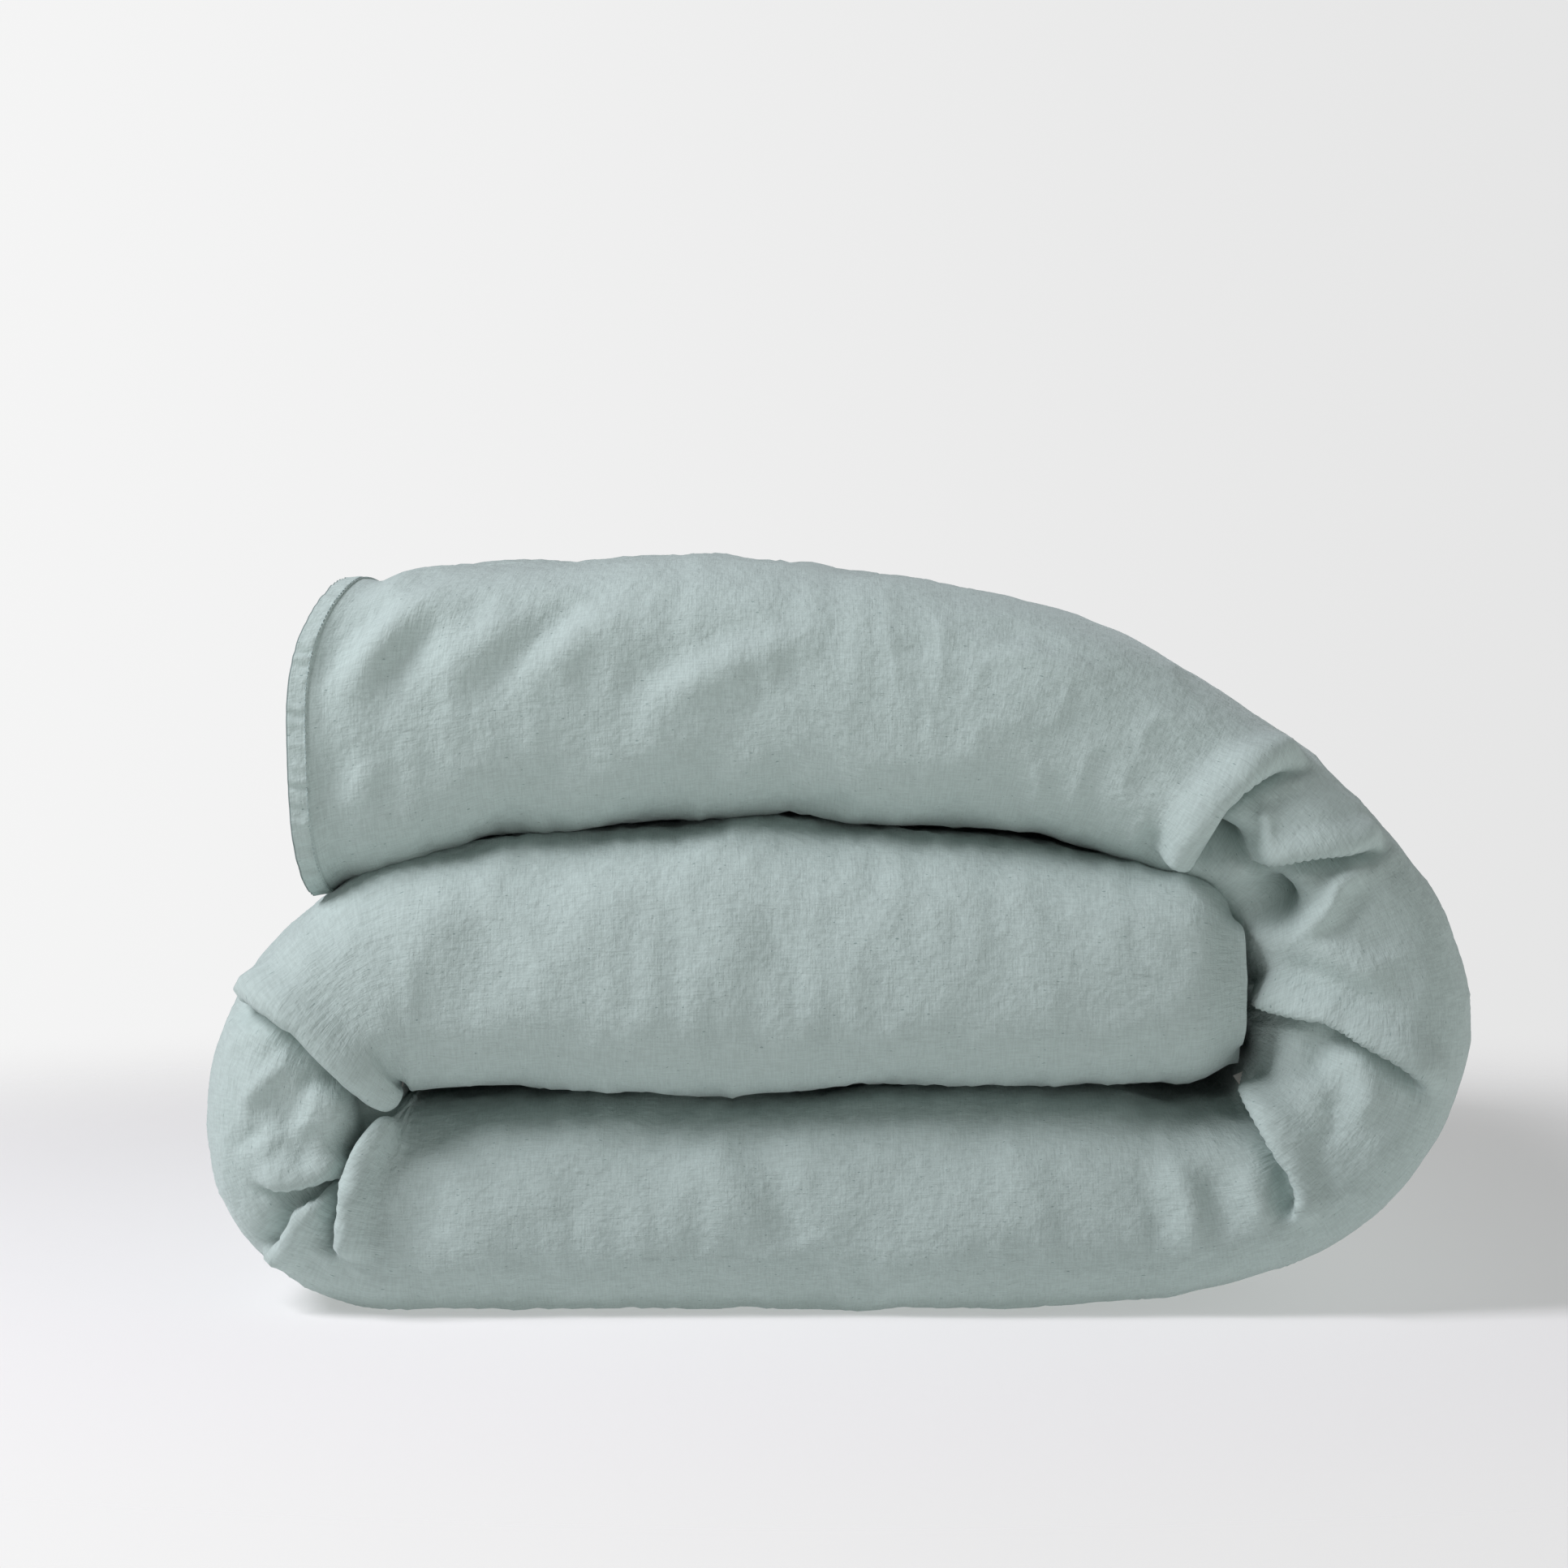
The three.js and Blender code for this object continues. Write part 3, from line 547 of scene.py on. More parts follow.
# Adds one mesh, smooth and with its own UV map, from flat arrays of points and faces of equal size.
def addMesh(name, points, faces, uv, material):
    mesh = bpy.data.meshes.new(name)
    mesh.vertices.add(len(points))
    mesh.vertices.foreach_set("co", np.asarray(points, np.float32).ravel())
    mesh.loops.add(faces.size)
    mesh.loops.foreach_set("vertex_index", faces.ravel().astype(np.int32))
    mesh.polygons.add(len(faces))
    sides = faces.shape[1]
    mesh.polygons.foreach_set("loop_start", np.arange(0, faces.size, sides, dtype=np.int32))
    mesh.polygons.foreach_set("loop_total", np.full(len(faces), sides, np.int32))
    mesh.update(calc_edges=True)
    mesh.uv_layers.new(name="flat")
    mesh.uv_layers["flat"].data.foreach_set("uv", np.asarray(uv, np.float32)[faces.ravel()].ravel())
    mesh.polygons.foreach_set("use_smooth", np.ones(len(faces), bool))
    mesh.materials.append(material)
    piece = bpy.data.objects.new(name, mesh)
    bpy.context.scene.collection.objects.link(piece)
    return piece


# The quads of a grid, facing the way that out grows.
def gridFaces(rows, columns, start=0):
    corner = np.arange(rows * columns).reshape(rows, columns) + start
    quads = [corner[:-1, :-1], corner[:-1, 1:], corner[1:, 1:], corner[1:, :-1]]
    return np.stack(quads, axis=-1).reshape(-1, 4)


# One cloth as a grid, with its own flat places in metres as its UV map.
def clothMesh(name, points, us, vs, material, turned=False):
    faces = gridFaces(*points.shape[:2])
    uv = np.stack([us, vs], axis=-1).reshape(-1, 2)
    return addMesh(name, points.reshape(-1, 3), faces[:, ::-1] if turned else faces, uv, material)


# Two facing grids closed round their border into one solid shell.
def shellMesh(name, outer, inner, us, vs, material):
    rows, columns = outer.shape[:2]
    corner = np.arange(rows * columns).reshape(rows, columns)
    border = np.concatenate([corner[0, :-1], corner[:-1, -1], corner[-1, :0:-1], corner[:0:-1, 0]])
    after = np.roll(border, -1)
    walls = np.stack([border, border + corner.size, after + corner.size, after], axis=-1)
    faces = np.concatenate([gridFaces(rows, columns), gridFaces(rows, columns, corner.size)[:, ::-1], walls])
    uv = np.stack([us, vs], axis=-1).reshape(-1, 2)
    points = np.concatenate([outer.reshape(-1, 3), inner.reshape(-1, 3)])
    return addMesh(name, points, faces, np.concatenate([uv, uv]), material)


# An sRGB hex colour as linear values.
def linear(code):
    values = [int(code[i:i + 2], 16) / 255 for i in (0, 2, 4)]
    return [v / 12.92 if v <= 0.04045 else ((v + 0.055) / 1.055) ** 2.4 for v in values] + [1.0]


# One node with its settings and its links: inputs given as sockets are linked, others are set. An input is
# named, or is in0, in1 and so on where names repeat.
def addNode(material, kind, settings=None, **inputs):
    tree = material.node_tree
    node = tree.nodes.new("ShaderNode" + kind)
    for key, value in (settings or {}).items():
        setattr(node, key, value)
    for key, value in inputs.items():
        socket = node.inputs[int(key[2:])] if key.startswith("in") and key[2:].isdigit() else node.inputs[key]
        if isinstance(value, bpy.types.NodeSocket):
            tree.links.new(value, socket)
        else:
            socket.default_value = value
    return node


# A material and its shader, with these values set on the shader's own inputs.
def newMaterial(name, settings):
    material = bpy.data.materials.new(name)
    material.use_nodes = True
    shader = material.node_tree.nodes["Principled BSDF"]
    for key, value in settings.items():
        shader.inputs[key].default_value = value
    return material, shader


# Plain-woven linen, piece-dyed and washed: a matt cloth whose uneven yarns show as short streaks both ways,
# with a few undyed dark flecks. Real yarns lie 0.5 mm apart; they are drawn 1.1 mm apart so that they show.
# Gaps and lengths are in mm and bumps in metres. "yarns" and "flecks" are the two noise values between which
# the yarns turn from dark to pale, and the cloth to a fleck.
linenCloth = {
    "light": "b0c0bc", "dark": "a7b6b2", "fleck": "6f827f", "sheenTint": "dfe9ea",
    "threadGap": 1.1, "slubLength": 14, "yarns": (0.72, 1.28), "melange": 12, "melangeShare": 0.4,
    "flecksPerMetre": (300, 620, 1), "flecks": (0.79, 0.83), "fleckShare": 0.6,
    "bump": 0.00022, "crinkle": 6, "crinkleBump": 0.0016, "crinkleShare": 0.8,
}


# Two noises, each drawn out one way, cross as yarns; a broad one clouds them and a sparse one adds flecks.
def linenMaterial(name, c):
    material, shader = newMaterial(name, {
        "Roughness": 0.9, "IOR": 1.53, "Specular IOR Level": 0.25, "Sheen Weight": 0.28,
        "Sheen Roughness": 0.45, "Sheen Tint": linear(c["sheenTint"])})
    links = material.node_tree.links
    flat = addNode(material, "UVMap", {"uv_map": "flat"}).outputs["UV"]
    thread, slub = 1000 / c["threadGap"], 1000 / c["slubLength"]
    streaks = []
    for scale in ((slub, thread, 1), (thread, slub, 1)):
        placed = addNode(material, "Mapping", Vector=flat, Scale=scale).outputs[0]
        streaks.append(addNode(material, "TexNoise", Vector=placed, Scale=1.0, Detail=1.0).outputs["Fac"])
    both = addNode(material, "Math", {"operation": "ADD"}, in0=streaks[0], in1=streaks[1]).outputs[0]
    yarns = addNode(material, "MapRange", {"interpolation_type": "SMOOTHSTEP"}, Value=both, **{
        "From Min": c["yarns"][0], "From Max": c["yarns"][1]}).outputs[0]
    cloud = addNode(material, "TexNoise", Vector=flat, Scale=1000 / c["melange"], Detail=2.0).outputs["Fac"]
    tone = addNode(material, "Math", {"operation": "MULTIPLY_ADD"}, in0=cloud, in1=c["melangeShare"],
                   in2=-c["melangeShare"] / 2).outputs[0]
    factor = addNode(material, "Math", {"operation": "ADD", "use_clamp": True},
                     in0=yarns, in1=tone).outputs[0]
    colour = addNode(material, "Mix", {"data_type": "RGBA"}, Factor=factor, in6=linear(c["dark"]),
                     in7=linear(c["light"])).outputs[2]
    placed = addNode(material, "Mapping", Vector=flat, Scale=c["flecksPerMetre"]).outputs[0]
    specks = addNode(material, "TexNoise", Vector=placed, Scale=1.0, Detail=0.0).outputs["Fac"]
    fleck = addNode(material, "MapRange", Value=specks, **{
        "From Min": c["flecks"][0], "From Max": c["flecks"][1], "To Max": c["fleckShare"]}).outputs[0]
    colour = addNode(material, "Mix", {"data_type": "RGBA"}, Factor=fleck, in6=colour,
                     in7=linear(c["fleck"])).outputs[2]
    links.new(colour, shader.inputs["Base Color"])
    weave = addNode(material, "Bump", Strength=1.0, Distance=c["bump"], Height=both)
    crinkled = addNode(material, "TexNoise", Vector=flat, Scale=1000 / c["crinkle"], Detail=3.0)
    finish = addNode(material, "Bump", Strength=c["crinkleShare"], Distance=c["crinkleBump"],
                     Height=crinkled.outputs["Fac"], Normal=weave.outputs[0])
    links.new(finish.outputs[0], shader.inputs["Normal"])
    return material


# A plain finish with a fine grain of its own: two colours, grain in mm, roughness, bump in metres, and other
# shader settings.
def plainMaterial(name, light, dark, grain, roughness, bump, settings):
    material, shader = newMaterial(name, {"Roughness": roughness, **settings})
    place = addNode(material, "TexCoord").outputs["Object"]
    noise = addNode(material, "TexNoise", Vector=place, Scale=1000 / grain, Detail=3.0).outputs["Fac"]
    colour = addNode(material, "Mix", {"data_type": "RGBA"}, Factor=noise, in6=linear(dark),
                     in7=linear(light)).outputs[2]
    material.node_tree.links.new(colour, shader.inputs["Base Color"])
    raised = addNode(material, "Bump", Distance=bump, Height=noise)
    material.node_tree.links.new(raised.outputs[0], shader.inputs["Normal"])
    return material


linen = linenMaterial("washedLinen", linenCloth)

# Spun polyester thread: matt and slightly hairy, a shade darker than the cloth that it sews.
sewingThread = plainMaterial("spunSewingThread", "a9bab8", "8fa3a1", 0.6, 0.7, 0.0002, {"IOR": 1.5})

# Tightly woven cotton that holds the fill in: an off-white cloth, a little smoother than linen.
cottonShell = plainMaterial("downproofCotton", "f1efe9", "e3e0d8", 0.9, 0.75, 0.0002, {"IOR": 1.5})

# Twill tape, woven from undyed cotton: matt, with a raised grain.
cottonTape = plainMaterial("cottonTwillTape", "eceae3", "d9d6cc", 0.8, 0.8, 0.0003, {"IOR": 1.5})

# Cast polyester resin, tumbled to a gloss: broad pale clouds under a clear surface.
pearlResin = plainMaterial("pearlResin", "e9ecea", "cfd8d6", 6.0, 0.22, 0.00002, {
    "IOR": 1.56, "Coat Weight": 0.4})

# Satin ribbon, woven from filament yarn: smooth, with a soft gleam.
labelSatin = plainMaterial("wovenSatin", "f4f3ef", "e6e4de", 0.7, 0.45, 0.0001, {
    "IOR": 1.5, "Sheen Weight": 0.3})


# Bakes the piece's place into its points; it rides on neither body.
def bendWithLift(piece):
    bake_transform(piece)


# The outer panel is the cloth that shows. Its grid is fine round the bends and in front, and coarse where
# nothing shows.
outerCloth = {
    "bendStep": 0.0030, "runStep": 0.0074, "frontStep": 0.0030, "topStep": 0.016, "hiddenStep": 0.045,
    "frontBefore": 0.06, "frontAfter": 0.02, "headSwell": 1.0, "footSwell": 0.5, "atSeam": 0.25,
    "seamReach": 0.03, "crumpleFrom": 0.04, "heldEdge": 0.03, "shownAfter": 0.01,
}


# The panel's places along and across the strip, at their own steps.
def outerGrid(c):
    alongs = stations(
        (0, line["topEnd"], c["runStep"]), (line["topEnd"], line["bottomStart"], c["bendStep"]),
        (line["bottomStart"], line["leftStart"], c["runStep"]),
        (line["leftStart"], line["leftEnd"], c["bendStep"]), (line["leftEnd"], line["length"], c["runStep"]))
    frontStart = line["sideRun"] - c["frontBefore"]
    frontEnd = line["width"] - line["sideRun"] + c["frontAfter"]
    acrosses = np.concatenate([
        stations((0, frontStart, c["topStep"]))[:-1], evenStations(frontStart, frontEnd, c["frontStep"]),
        stations((frontEnd, line["width"], c["hiddenStep"]))[1:]])
    return np.meshgrid(alongs, acrosses, indexing="ij")


# The outer cloth's distance from the strip's middle: it swells sooner after the end seams than the insert.
def outerLoft(along, across, c):
    fromEnd = np.minimum(along, line["length"] - along)
    swell = np.where(along < line["length"] / 2, c["headSwell"], c["footSwell"])
    ends = rise(fromEnd, strip["endTaper"]) ** swell
    sides = rise(np.minimum(across, line["width"] - across), strip["sideTaper"])
    full = (line["loft"] / 2 - strip["clearance"]) * ends * sides
    mid = midLoft(along, across)
    share = c["atSeam"] + (1 - c["atSeam"]) * eased(fromEnd / c["seamReach"])
    return mid + np.minimum(full, line["loft"] - mid) * share


# Lets the draped cloth ease itself: Blender's cloth, a little too large for its place, held to it softly
# where it is seen and firmly elsewhere, so that it buckles into small wrinkles of its own. The cap is how far
# a point may move.
easing = {
    "frames": 14, "quality": 5, "mass": 0.15, "tension": 15, "shear": 5, "bending": 0.2, "surplus": 0.015,
    "hold": 0.7, "holdStiffness": 1.0, "cap": 0.005,
}


# Steps the cloth over its frames, takes each point's move, capped, and leaves no modifier on the panel.
def easeCloth(panel, held, c):
    group = panel.vertex_groups.new(name="held")
    for level in np.unique(held):
        group.add(np.flatnonzero(held == level).tolist(), float(level), "REPLACE")
    cloth = panel.modifiers.new("ease", "CLOTH")
    cloth.settings.quality = c["quality"]
    cloth.settings.mass = c["mass"]
    cloth.settings.tension_stiffness = c["tension"]
    cloth.settings.compression_stiffness = c["tension"]
    cloth.settings.shear_stiffness = c["shear"]
    cloth.settings.bending_stiffness = c["bending"]
    cloth.settings.shrink_min = -c["surplus"]
    cloth.settings.vertex_group_mass = "held"
    cloth.settings.pin_stiffness = c["holdStiffness"]
    cloth.settings.effector_weights.gravity = 0
    cloth.point_cache.frame_end = c["frames"]
    count = len(panel.data.vertices)
    before, after = np.empty(count * 3, np.float32), np.empty(count * 3, np.float32)
    panel.data.vertices.foreach_get("co", before)
    for frameNumber in range(1, c["frames"] + 1):
        bpy.context.scene.frame_set(frameNumber)
    evaluated = panel.evaluated_get(bpy.context.evaluated_depsgraph_get())
    evaluated.data.vertices.foreach_get("co", after)
    panel.modifiers.remove(cloth)
    panel.vertex_groups.remove(group)
    bpy.context.scene.frame_set(1)
    move = (after - before).reshape(-1, 3)
    size = np.linalg.norm(move, axis=-1, keepdims=True)
    move *= np.minimum(1, c["cap"] / np.maximum(size, 1e-9))
    points = before.reshape(-1, 3) + move
    points[:, 2] = np.maximum(points[:, 2], strip["floorGap"])
    panel.data.vertices.foreach_set("co", points.ravel())
    panel.data.update()
    print("eased", panel.name, "most moved", float(size.max()), "mean", float(size.mean()))


# The outer side of the fold, draped, softened and crumpled along its normals, and then eased.
def buildOuterPanel(c):
    us, vs = outerGrid(c)
    outs = outerLoft(us, vs, c)
    points = bedPoints(us, vs, outs)
    normals = outwardNormals(points, us, vs, outs)
    arcs = np.interp(vs, *section)
    fromSeam = rise(np.minimum(vs, us), c["crumpleFrom"])
    points = soften(drape(points, normals, draping), normals)
    points += normals * (crumple(us, arcs, crumpling) * fromSeam)[..., None]
    points[..., 2] = np.maximum(points[..., 2], strip["floorGap"])
    panel = clothMesh("linen_outer_panel", points, us, arcs, linen)
    fromEdge = np.minimum(np.minimum(us, line["length"] - us), np.minimum(vs, line["width"] - vs))
    shown = (vs < line["width"] - line["sideRun"] + c["shownAfter"]) & (fromEdge > c["heldEdge"])
    easeCloth(panel, np.where(shown, easing["hold"], 1.0).ravel(), easing)
    bendWithLift(panel)
    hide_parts(*[n for n in frame["nodes"] if n.startswith("cover_outer_panel")])
    print("outer panel", points.shape)


buildOuterPanel(outerCloth)

# The inner panel: the other cloth, which faces itself inside the half fold.
innerCloth = {"alongStep": 0.013, "acrossStep": 0.016}


# The inner side of the fold: half the loft inwards from the seam.
def buildInnerPanel(c):
    alongs = stations((0, line["length"], c["alongStep"]))
    acrosses = stations((0, line["width"], c["acrossStep"]))
    us, vs = np.meshgrid(alongs, acrosses, indexing="ij")
    points = bedPoints(us, vs, midLoft(us, vs) - halfLoft(us, vs), strip["innerFullness"])
    panel = clothMesh("linen_inner_panel", points, us, vs, linen, turned=True)
    bendWithLift(panel)
    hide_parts(*[n for n in frame["nodes"] if n.startswith("cover_inner_panel")])
    print("inner panel", points.shape)


buildInnerPanel(innerCloth)

# The insert: a downproof cotton shell, stitched into pillowed chambers, which fills the cover loosely.
insert = {
    "margin": 0.034, "step": 0.012, "chambersAlong": 9, "chambersAcross": 8, "dip": 0.35, "crown": 0.4,
    "slack": 0.0045, "frontSlack": 0.026, "frontFade": 0.2, "edge": 0.0015, "fill": 0.5, "floorGap": 0.002,
}


# Two faces on either side of the middle plane: as thick as the loft allows, drawn in along the channel
# stitching.
def buildInsert(c):
    us, vs = np.meshgrid(stations((c["margin"], line["length"] - c["margin"], c["step"])),
                         stations((c["margin"], line["width"] - c["margin"], c["step"])), indexing="ij")
    chamberU = c["chambersAlong"] * (us - c["margin"]) / (line["length"] - 2 * c["margin"])
    chamberV = c["chambersAcross"] * (vs - c["margin"]) / (line["width"] - 2 * c["margin"])
    pillow = np.abs(np.sin(math.pi * chamberU) * np.sin(math.pi * chamberV)) ** c["crown"]
    turn = np.clip((vs - line["sideRun"]) / line["frontLength"], 0, 1)
    inFront = eased(turn / c["frontFade"]) * eased((1 - turn) / c["frontFade"])
    slack = (c["slack"] + c["frontSlack"] * inFront) * strip["topHeight"] / leafHeight(us)
    room = np.maximum(halfLoft(us, vs) - strip["cloth"] - slack, c["edge"])
    thick = np.maximum(room * (1 - c["dip"] * (1 - pillow)), c["edge"])
    mid = midLoft(us, vs)
    outer = bedPoints(us, vs, mid + thick, strip["innerFullness"])
    inner = bedPoints(us, vs, mid - thick, strip["innerFullness"])
    normals = outwardNormals(outer, us, vs, mid + thick)
    outer = drape(outer, normals, draping)
    outer += normals * crumple(us, np.interp(vs, *section), crumpling)[..., None]
    for face in (outer, inner):
        face[..., 2] = np.maximum(face[..., 2], c["floorGap"])
    piece = shellMesh("quilted_insert", outer, inner, us, vs, cottonShell)
    bendWithLift(piece)
    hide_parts(*[n for n in frame["nodes"] if n.startswith("insert_chamber")])
    print("insert", us.shape)


buildInsert(insert)

# The small sewn-in pieces lie where the cloth has carried them: each is its CAD solid, moved as the cloth
# beside it has settled. (first letters of the node's name, material, slot)
carried = [
    ("insert_loop", cottonTape, "cotton_tape"), ("corner_tie", cottonTape, "cotton_tape"),
    ("care_label", labelSatin, "label_satin"), ("buttonhole_placket", linen, "linen"),
    ("button_placket", linen, "linen"), ("button_", pearlResin, "button_resin"),
]
carrying = {"alongCount": 240, "acrossCount": 90, "shares": (0.05, 0.5, 1.0)}   # where the move is sampled


# A copy of one node, each point moved as the nearest sample has moved. A button moves whole, to stay round.
def carriedCopy(name, folded, moves, whole):
    mesh = bpy.data.objects[name].data.copy()
    points = np.empty(len(mesh.vertices) * 3, np.float32)
    mesh.vertices.foreach_get("co", points)
    points = points.reshape(-1, 3).astype(float)
    targets = ((points.min(axis=0) + points.max(axis=0)) / 2)[None] if whole else points
    nearest = np.argmin(((targets[:, None] - folded[None]) ** 2).sum(-1), axis=1)
    mesh.vertices.foreach_set("co", (points + moves[nearest]).astype(np.float32).ravel())
    piece = bpy.data.objects.new("settled_" + name, mesh)
    bpy.context.scene.collection.objects.link(piece)
    return piece


# Samples how the cloth has moved from the plain fold to the settled one, and carries the pieces with it.
def buildCarried(rows, c):
    us, vs = np.meshgrid(np.linspace(0, line["length"], c["alongCount"]),
                         np.linspace(0, line["width"], c["acrossCount"]), indexing="ij")
    u, v, out = np.concatenate([
        np.stack([us, vs, midLoft(us, vs) * share], axis=-1).reshape(-1, 3) for share in c["shares"]]).T
    folded = foldMap(u, v, out) + shift
    moves = bedPoints(u, v, out, strip["innerFullness"]) - folded
    taken = set()
    for start, material, slot in rows:
        for name in sorted(n for n in frame["nodes"] if n.startswith(start) and n not in taken):
            taken.add(name)
            piece = carriedCopy(name, folded, moves, slot == "button_resin")
            piece.data.materials.clear()
            piece.data.materials.append(material)
            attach(piece, "top_leaf" if "_head_" in name else "pile")
            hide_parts(name)
    print("carried pieces", len(taken))


buildCarried(carried, carrying)

# Flanged hems: both panels' edges sewn flat together and overlocked. The seam draws them into small puckers.
hem = {
    "width": 0.0135, "thickness": 0.0015, "thinning": 0.3, "rows": 9,
    "acrossStep": 0.0018, "alongStep": 0.003, "frontStep": 0.0009, "frontReach": 0.02,
    "pucker": 0.0014, "puckerGap": 0.0038, "puckerReach": 0.004, "puckerAt": (1.1, 0.6), "slant": 1.3,
    "wave": 0.0016, "waveGap": 0.06, "thread": "6d7c7a", "rim": 0.0006,
}


# The hem's linen, with the overlocking thread along its outer edge: an attribute of each point says how far
# it is from the seam.
def hemMaterial(name, c):
    material = linenMaterial(name, linenCloth)
    shader = material.node_tree.nodes["Principled BSDF"]
    own = shader.inputs["Base Color"].links[0].from_socket
    reach = addNode(material, "Attribute", {"attribute_name": "reach"}).outputs["Fac"]
    rim = addNode(material, "MapRange", Value=reach, **{
        "From Min": c["width"] - 2 * c["rim"], "From Max": c["width"] - c["rim"]}).outputs[0]
    colour = addNode(material, "Mix", {"data_type": "RGBA"}, Factor=rim, in6=own,
                     in7=linear(c["thread"])).outputs[2]
    material.node_tree.links.new(colour, shader.inputs["Base Color"])
    return material


linenHem = hemMaterial("washedLinenHem", hem)


# A hem as a thin closed strip: us and vs are its places on the flat cloth, and reach is the distance from the
# seam. "puckerAt" is the puckers' share at the seam and at the edge.
def buildHem(name, us, vs, reach, replaced, c):
    arcs, share = np.interp(vs, *section), reach / c["width"]
    puckers = c["pucker"] * softNoise((us + arcs + c["slant"] * reach) / c["puckerGap"], 0 * reach, 11)
    puckers *= rise(reach, c["puckerReach"]) * np.interp(share, [0, 1], c["puckerAt"])
    waves = c["wave"] * softNoise((us + vs) / c["waveGap"], 0 * reach, 12) * share
    half = c["thickness"] / 2 * (1 - c["thinning"] * eased(share))
    middle = midLoft(np.maximum(us, 0), vs) + puckers + waves
    outer, inner = bedPoints(us, vs, middle + half), bedPoints(us, vs, middle - half)
    for face in (outer, inner):
        face[..., 2] = np.maximum(face[..., 2], strip["floorGap"])
    piece = shellMesh(name, outer, inner, us, arcs, linenHem)
    values = np.tile(reach.ravel(), 2).astype(np.float32)
    piece.data.attributes.new("reach", "FLOAT", "POINT").data.foreach_set("value", values)
    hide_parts(*[n for n in frame["nodes"] if n.startswith(replaced)])
    return piece


# Stitches, each a short capsule of six sides: "rings" gives its (place along, radius) as shares of its half
# length and radius.
stitch = {
    "pitch": 0.0034, "half": 0.0011, "radius": 0.00042, "above": 0.0002, "inset": 0.0012, "floorGap": 0.003,
    "rings": [(-1.0, 0.25), (-0.6, 1.0), (0.6, 1.0), (1.0, 0.25)],
}


# The capsules lie along their heading, half sunk in the cloth. Two quads close each end.
def stitchRow(name, places, heading, normal, c, sides=6):
    rings = len(c["rings"])
    turns = np.linspace(0, 2 * math.pi, sides, endpoint=False)
    local = np.array([
        (t * c["half"], r * c["radius"] * math.cos(a), r * c["radius"] * math.sin(a))
        for t, r in c["rings"] for a in turns])
    side = np.cross(heading, normal)
    points = (places[:, None] + local[None, :, :1] * heading[:, None] + local[None, :, 1:2] * normal[:, None]
              + local[None, :, 2:] * side[:, None])
    ring = np.arange(sides)
    after = np.roll(ring, -1)
    band = np.stack([ring, after, after + sides, ring + sides], axis=-1)
    tube = [band + i * sides for i in range(rings - 1)]
    near = np.array([[0, 5, 4, 1], [1, 4, 3, 2]])
    far = np.array([[0, 1, 4, 5], [1, 2, 3, 4]]) + (rings - 1) * sides
    one = np.concatenate([*tube, near, far])
    faces = one[None] + (np.arange(len(places)) * sides * rings)[:, None, None]
    points = points.reshape(-1, 3)
    return addMesh(name, points, faces.reshape(-1, 4), np.zeros((len(points), 2)), sewingThread)


# Stitches on a hem's outer face, every pitch along it, with the flat places of their points.
def hemStitches(name, us, vs, c):
    outs = midLoft(np.maximum(us, 0), vs) + hem["thickness"] / 2 + c["above"]
    steps = np.linalg.norm(np.diff(bedPoints(us, vs, outs), axis=0), axis=1)
    length = np.concatenate([[0], np.cumsum(steps)])
    at = np.arange(c["pitch"], length[-1] - c["pitch"], c["pitch"])
    u, v, out = [np.interp(at, length, values) for values in (us, vs, outs)]
    places = bedPoints(u, v, out)
    heading = np.gradient(places, axis=0)
    heading /= np.linalg.norm(heading, axis=-1, keepdims=True)
    normal = bedPoints(u, v, out + strip["cloth"]) - places
    normal -= (normal * heading).sum(-1, keepdims=True) * heading
    normal /= np.maximum(np.linalg.norm(normal, axis=-1, keepdims=True), 1e-9)
    keep = places[:, 2] > c["floorGap"]
    piece = stitchRow(name, places[keep], heading[keep], normal[keep], c)
    count = len(piece.data.vertices) // keep.sum()
    return piece, np.repeat(u[keep], count), np.repeat(v[keep], count)


# The hem at the free end of the top leaf, which moves with it.
def buildHeadHem(c):
    frontStart = line["sideRun"] - c["frontReach"]
    frontEnd = line["width"] - line["sideRun"] + c["frontReach"]
    vs = np.concatenate([
        stations((0, frontStart, c["acrossStep"]))[:-1], evenStations(frontStart, frontEnd, c["frontStep"]),
        stations((frontEnd, line["width"], c["acrossStep"]))[1:]])
    reach, across = np.meshgrid(np.linspace(c["width"], 0, c["rows"]), vs, indexing="ij")
    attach(buildHem("head_flange_hem", -reach, across, reach, "head_hem", c), "top_leaf")
    row, u, v = hemStitches("head_hem_stitches", np.full(vs.shape, -stitch["inset"]), vs, stitch)
    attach(row, "top_leaf")
    print("head hem and its stitches", vs.shape)


# One long hem, on the outer or the inner side seam: edge is the seam's place across, sign points outwards.
def buildSideHem(name, edge, sign, c):
    us = stations((0, line["length"], c["alongStep"]))
    reaches = np.linspace(0, c["width"], c["rows"])[::sign]
    along, reach = np.meshgrid(us, reaches, indexing="ij")
    across = edge + sign * reach
    side = buildHem("side_flange_hem_" + name, along, across, reach, "side_hem_" + name, c)
    bendWithLift(side)
    row, u, v = hemStitches("side_hem_stitches_" + name, us, edge + sign * stitch["inset"] + 0 * us, stitch)
    bendWithLift(row)
    print("side hem and its stitches,", name)


buildHeadHem(hem)
buildSideHem("outer", 0.0, -1, hem)
buildSideHem("inner", line["width"], 1, hem)
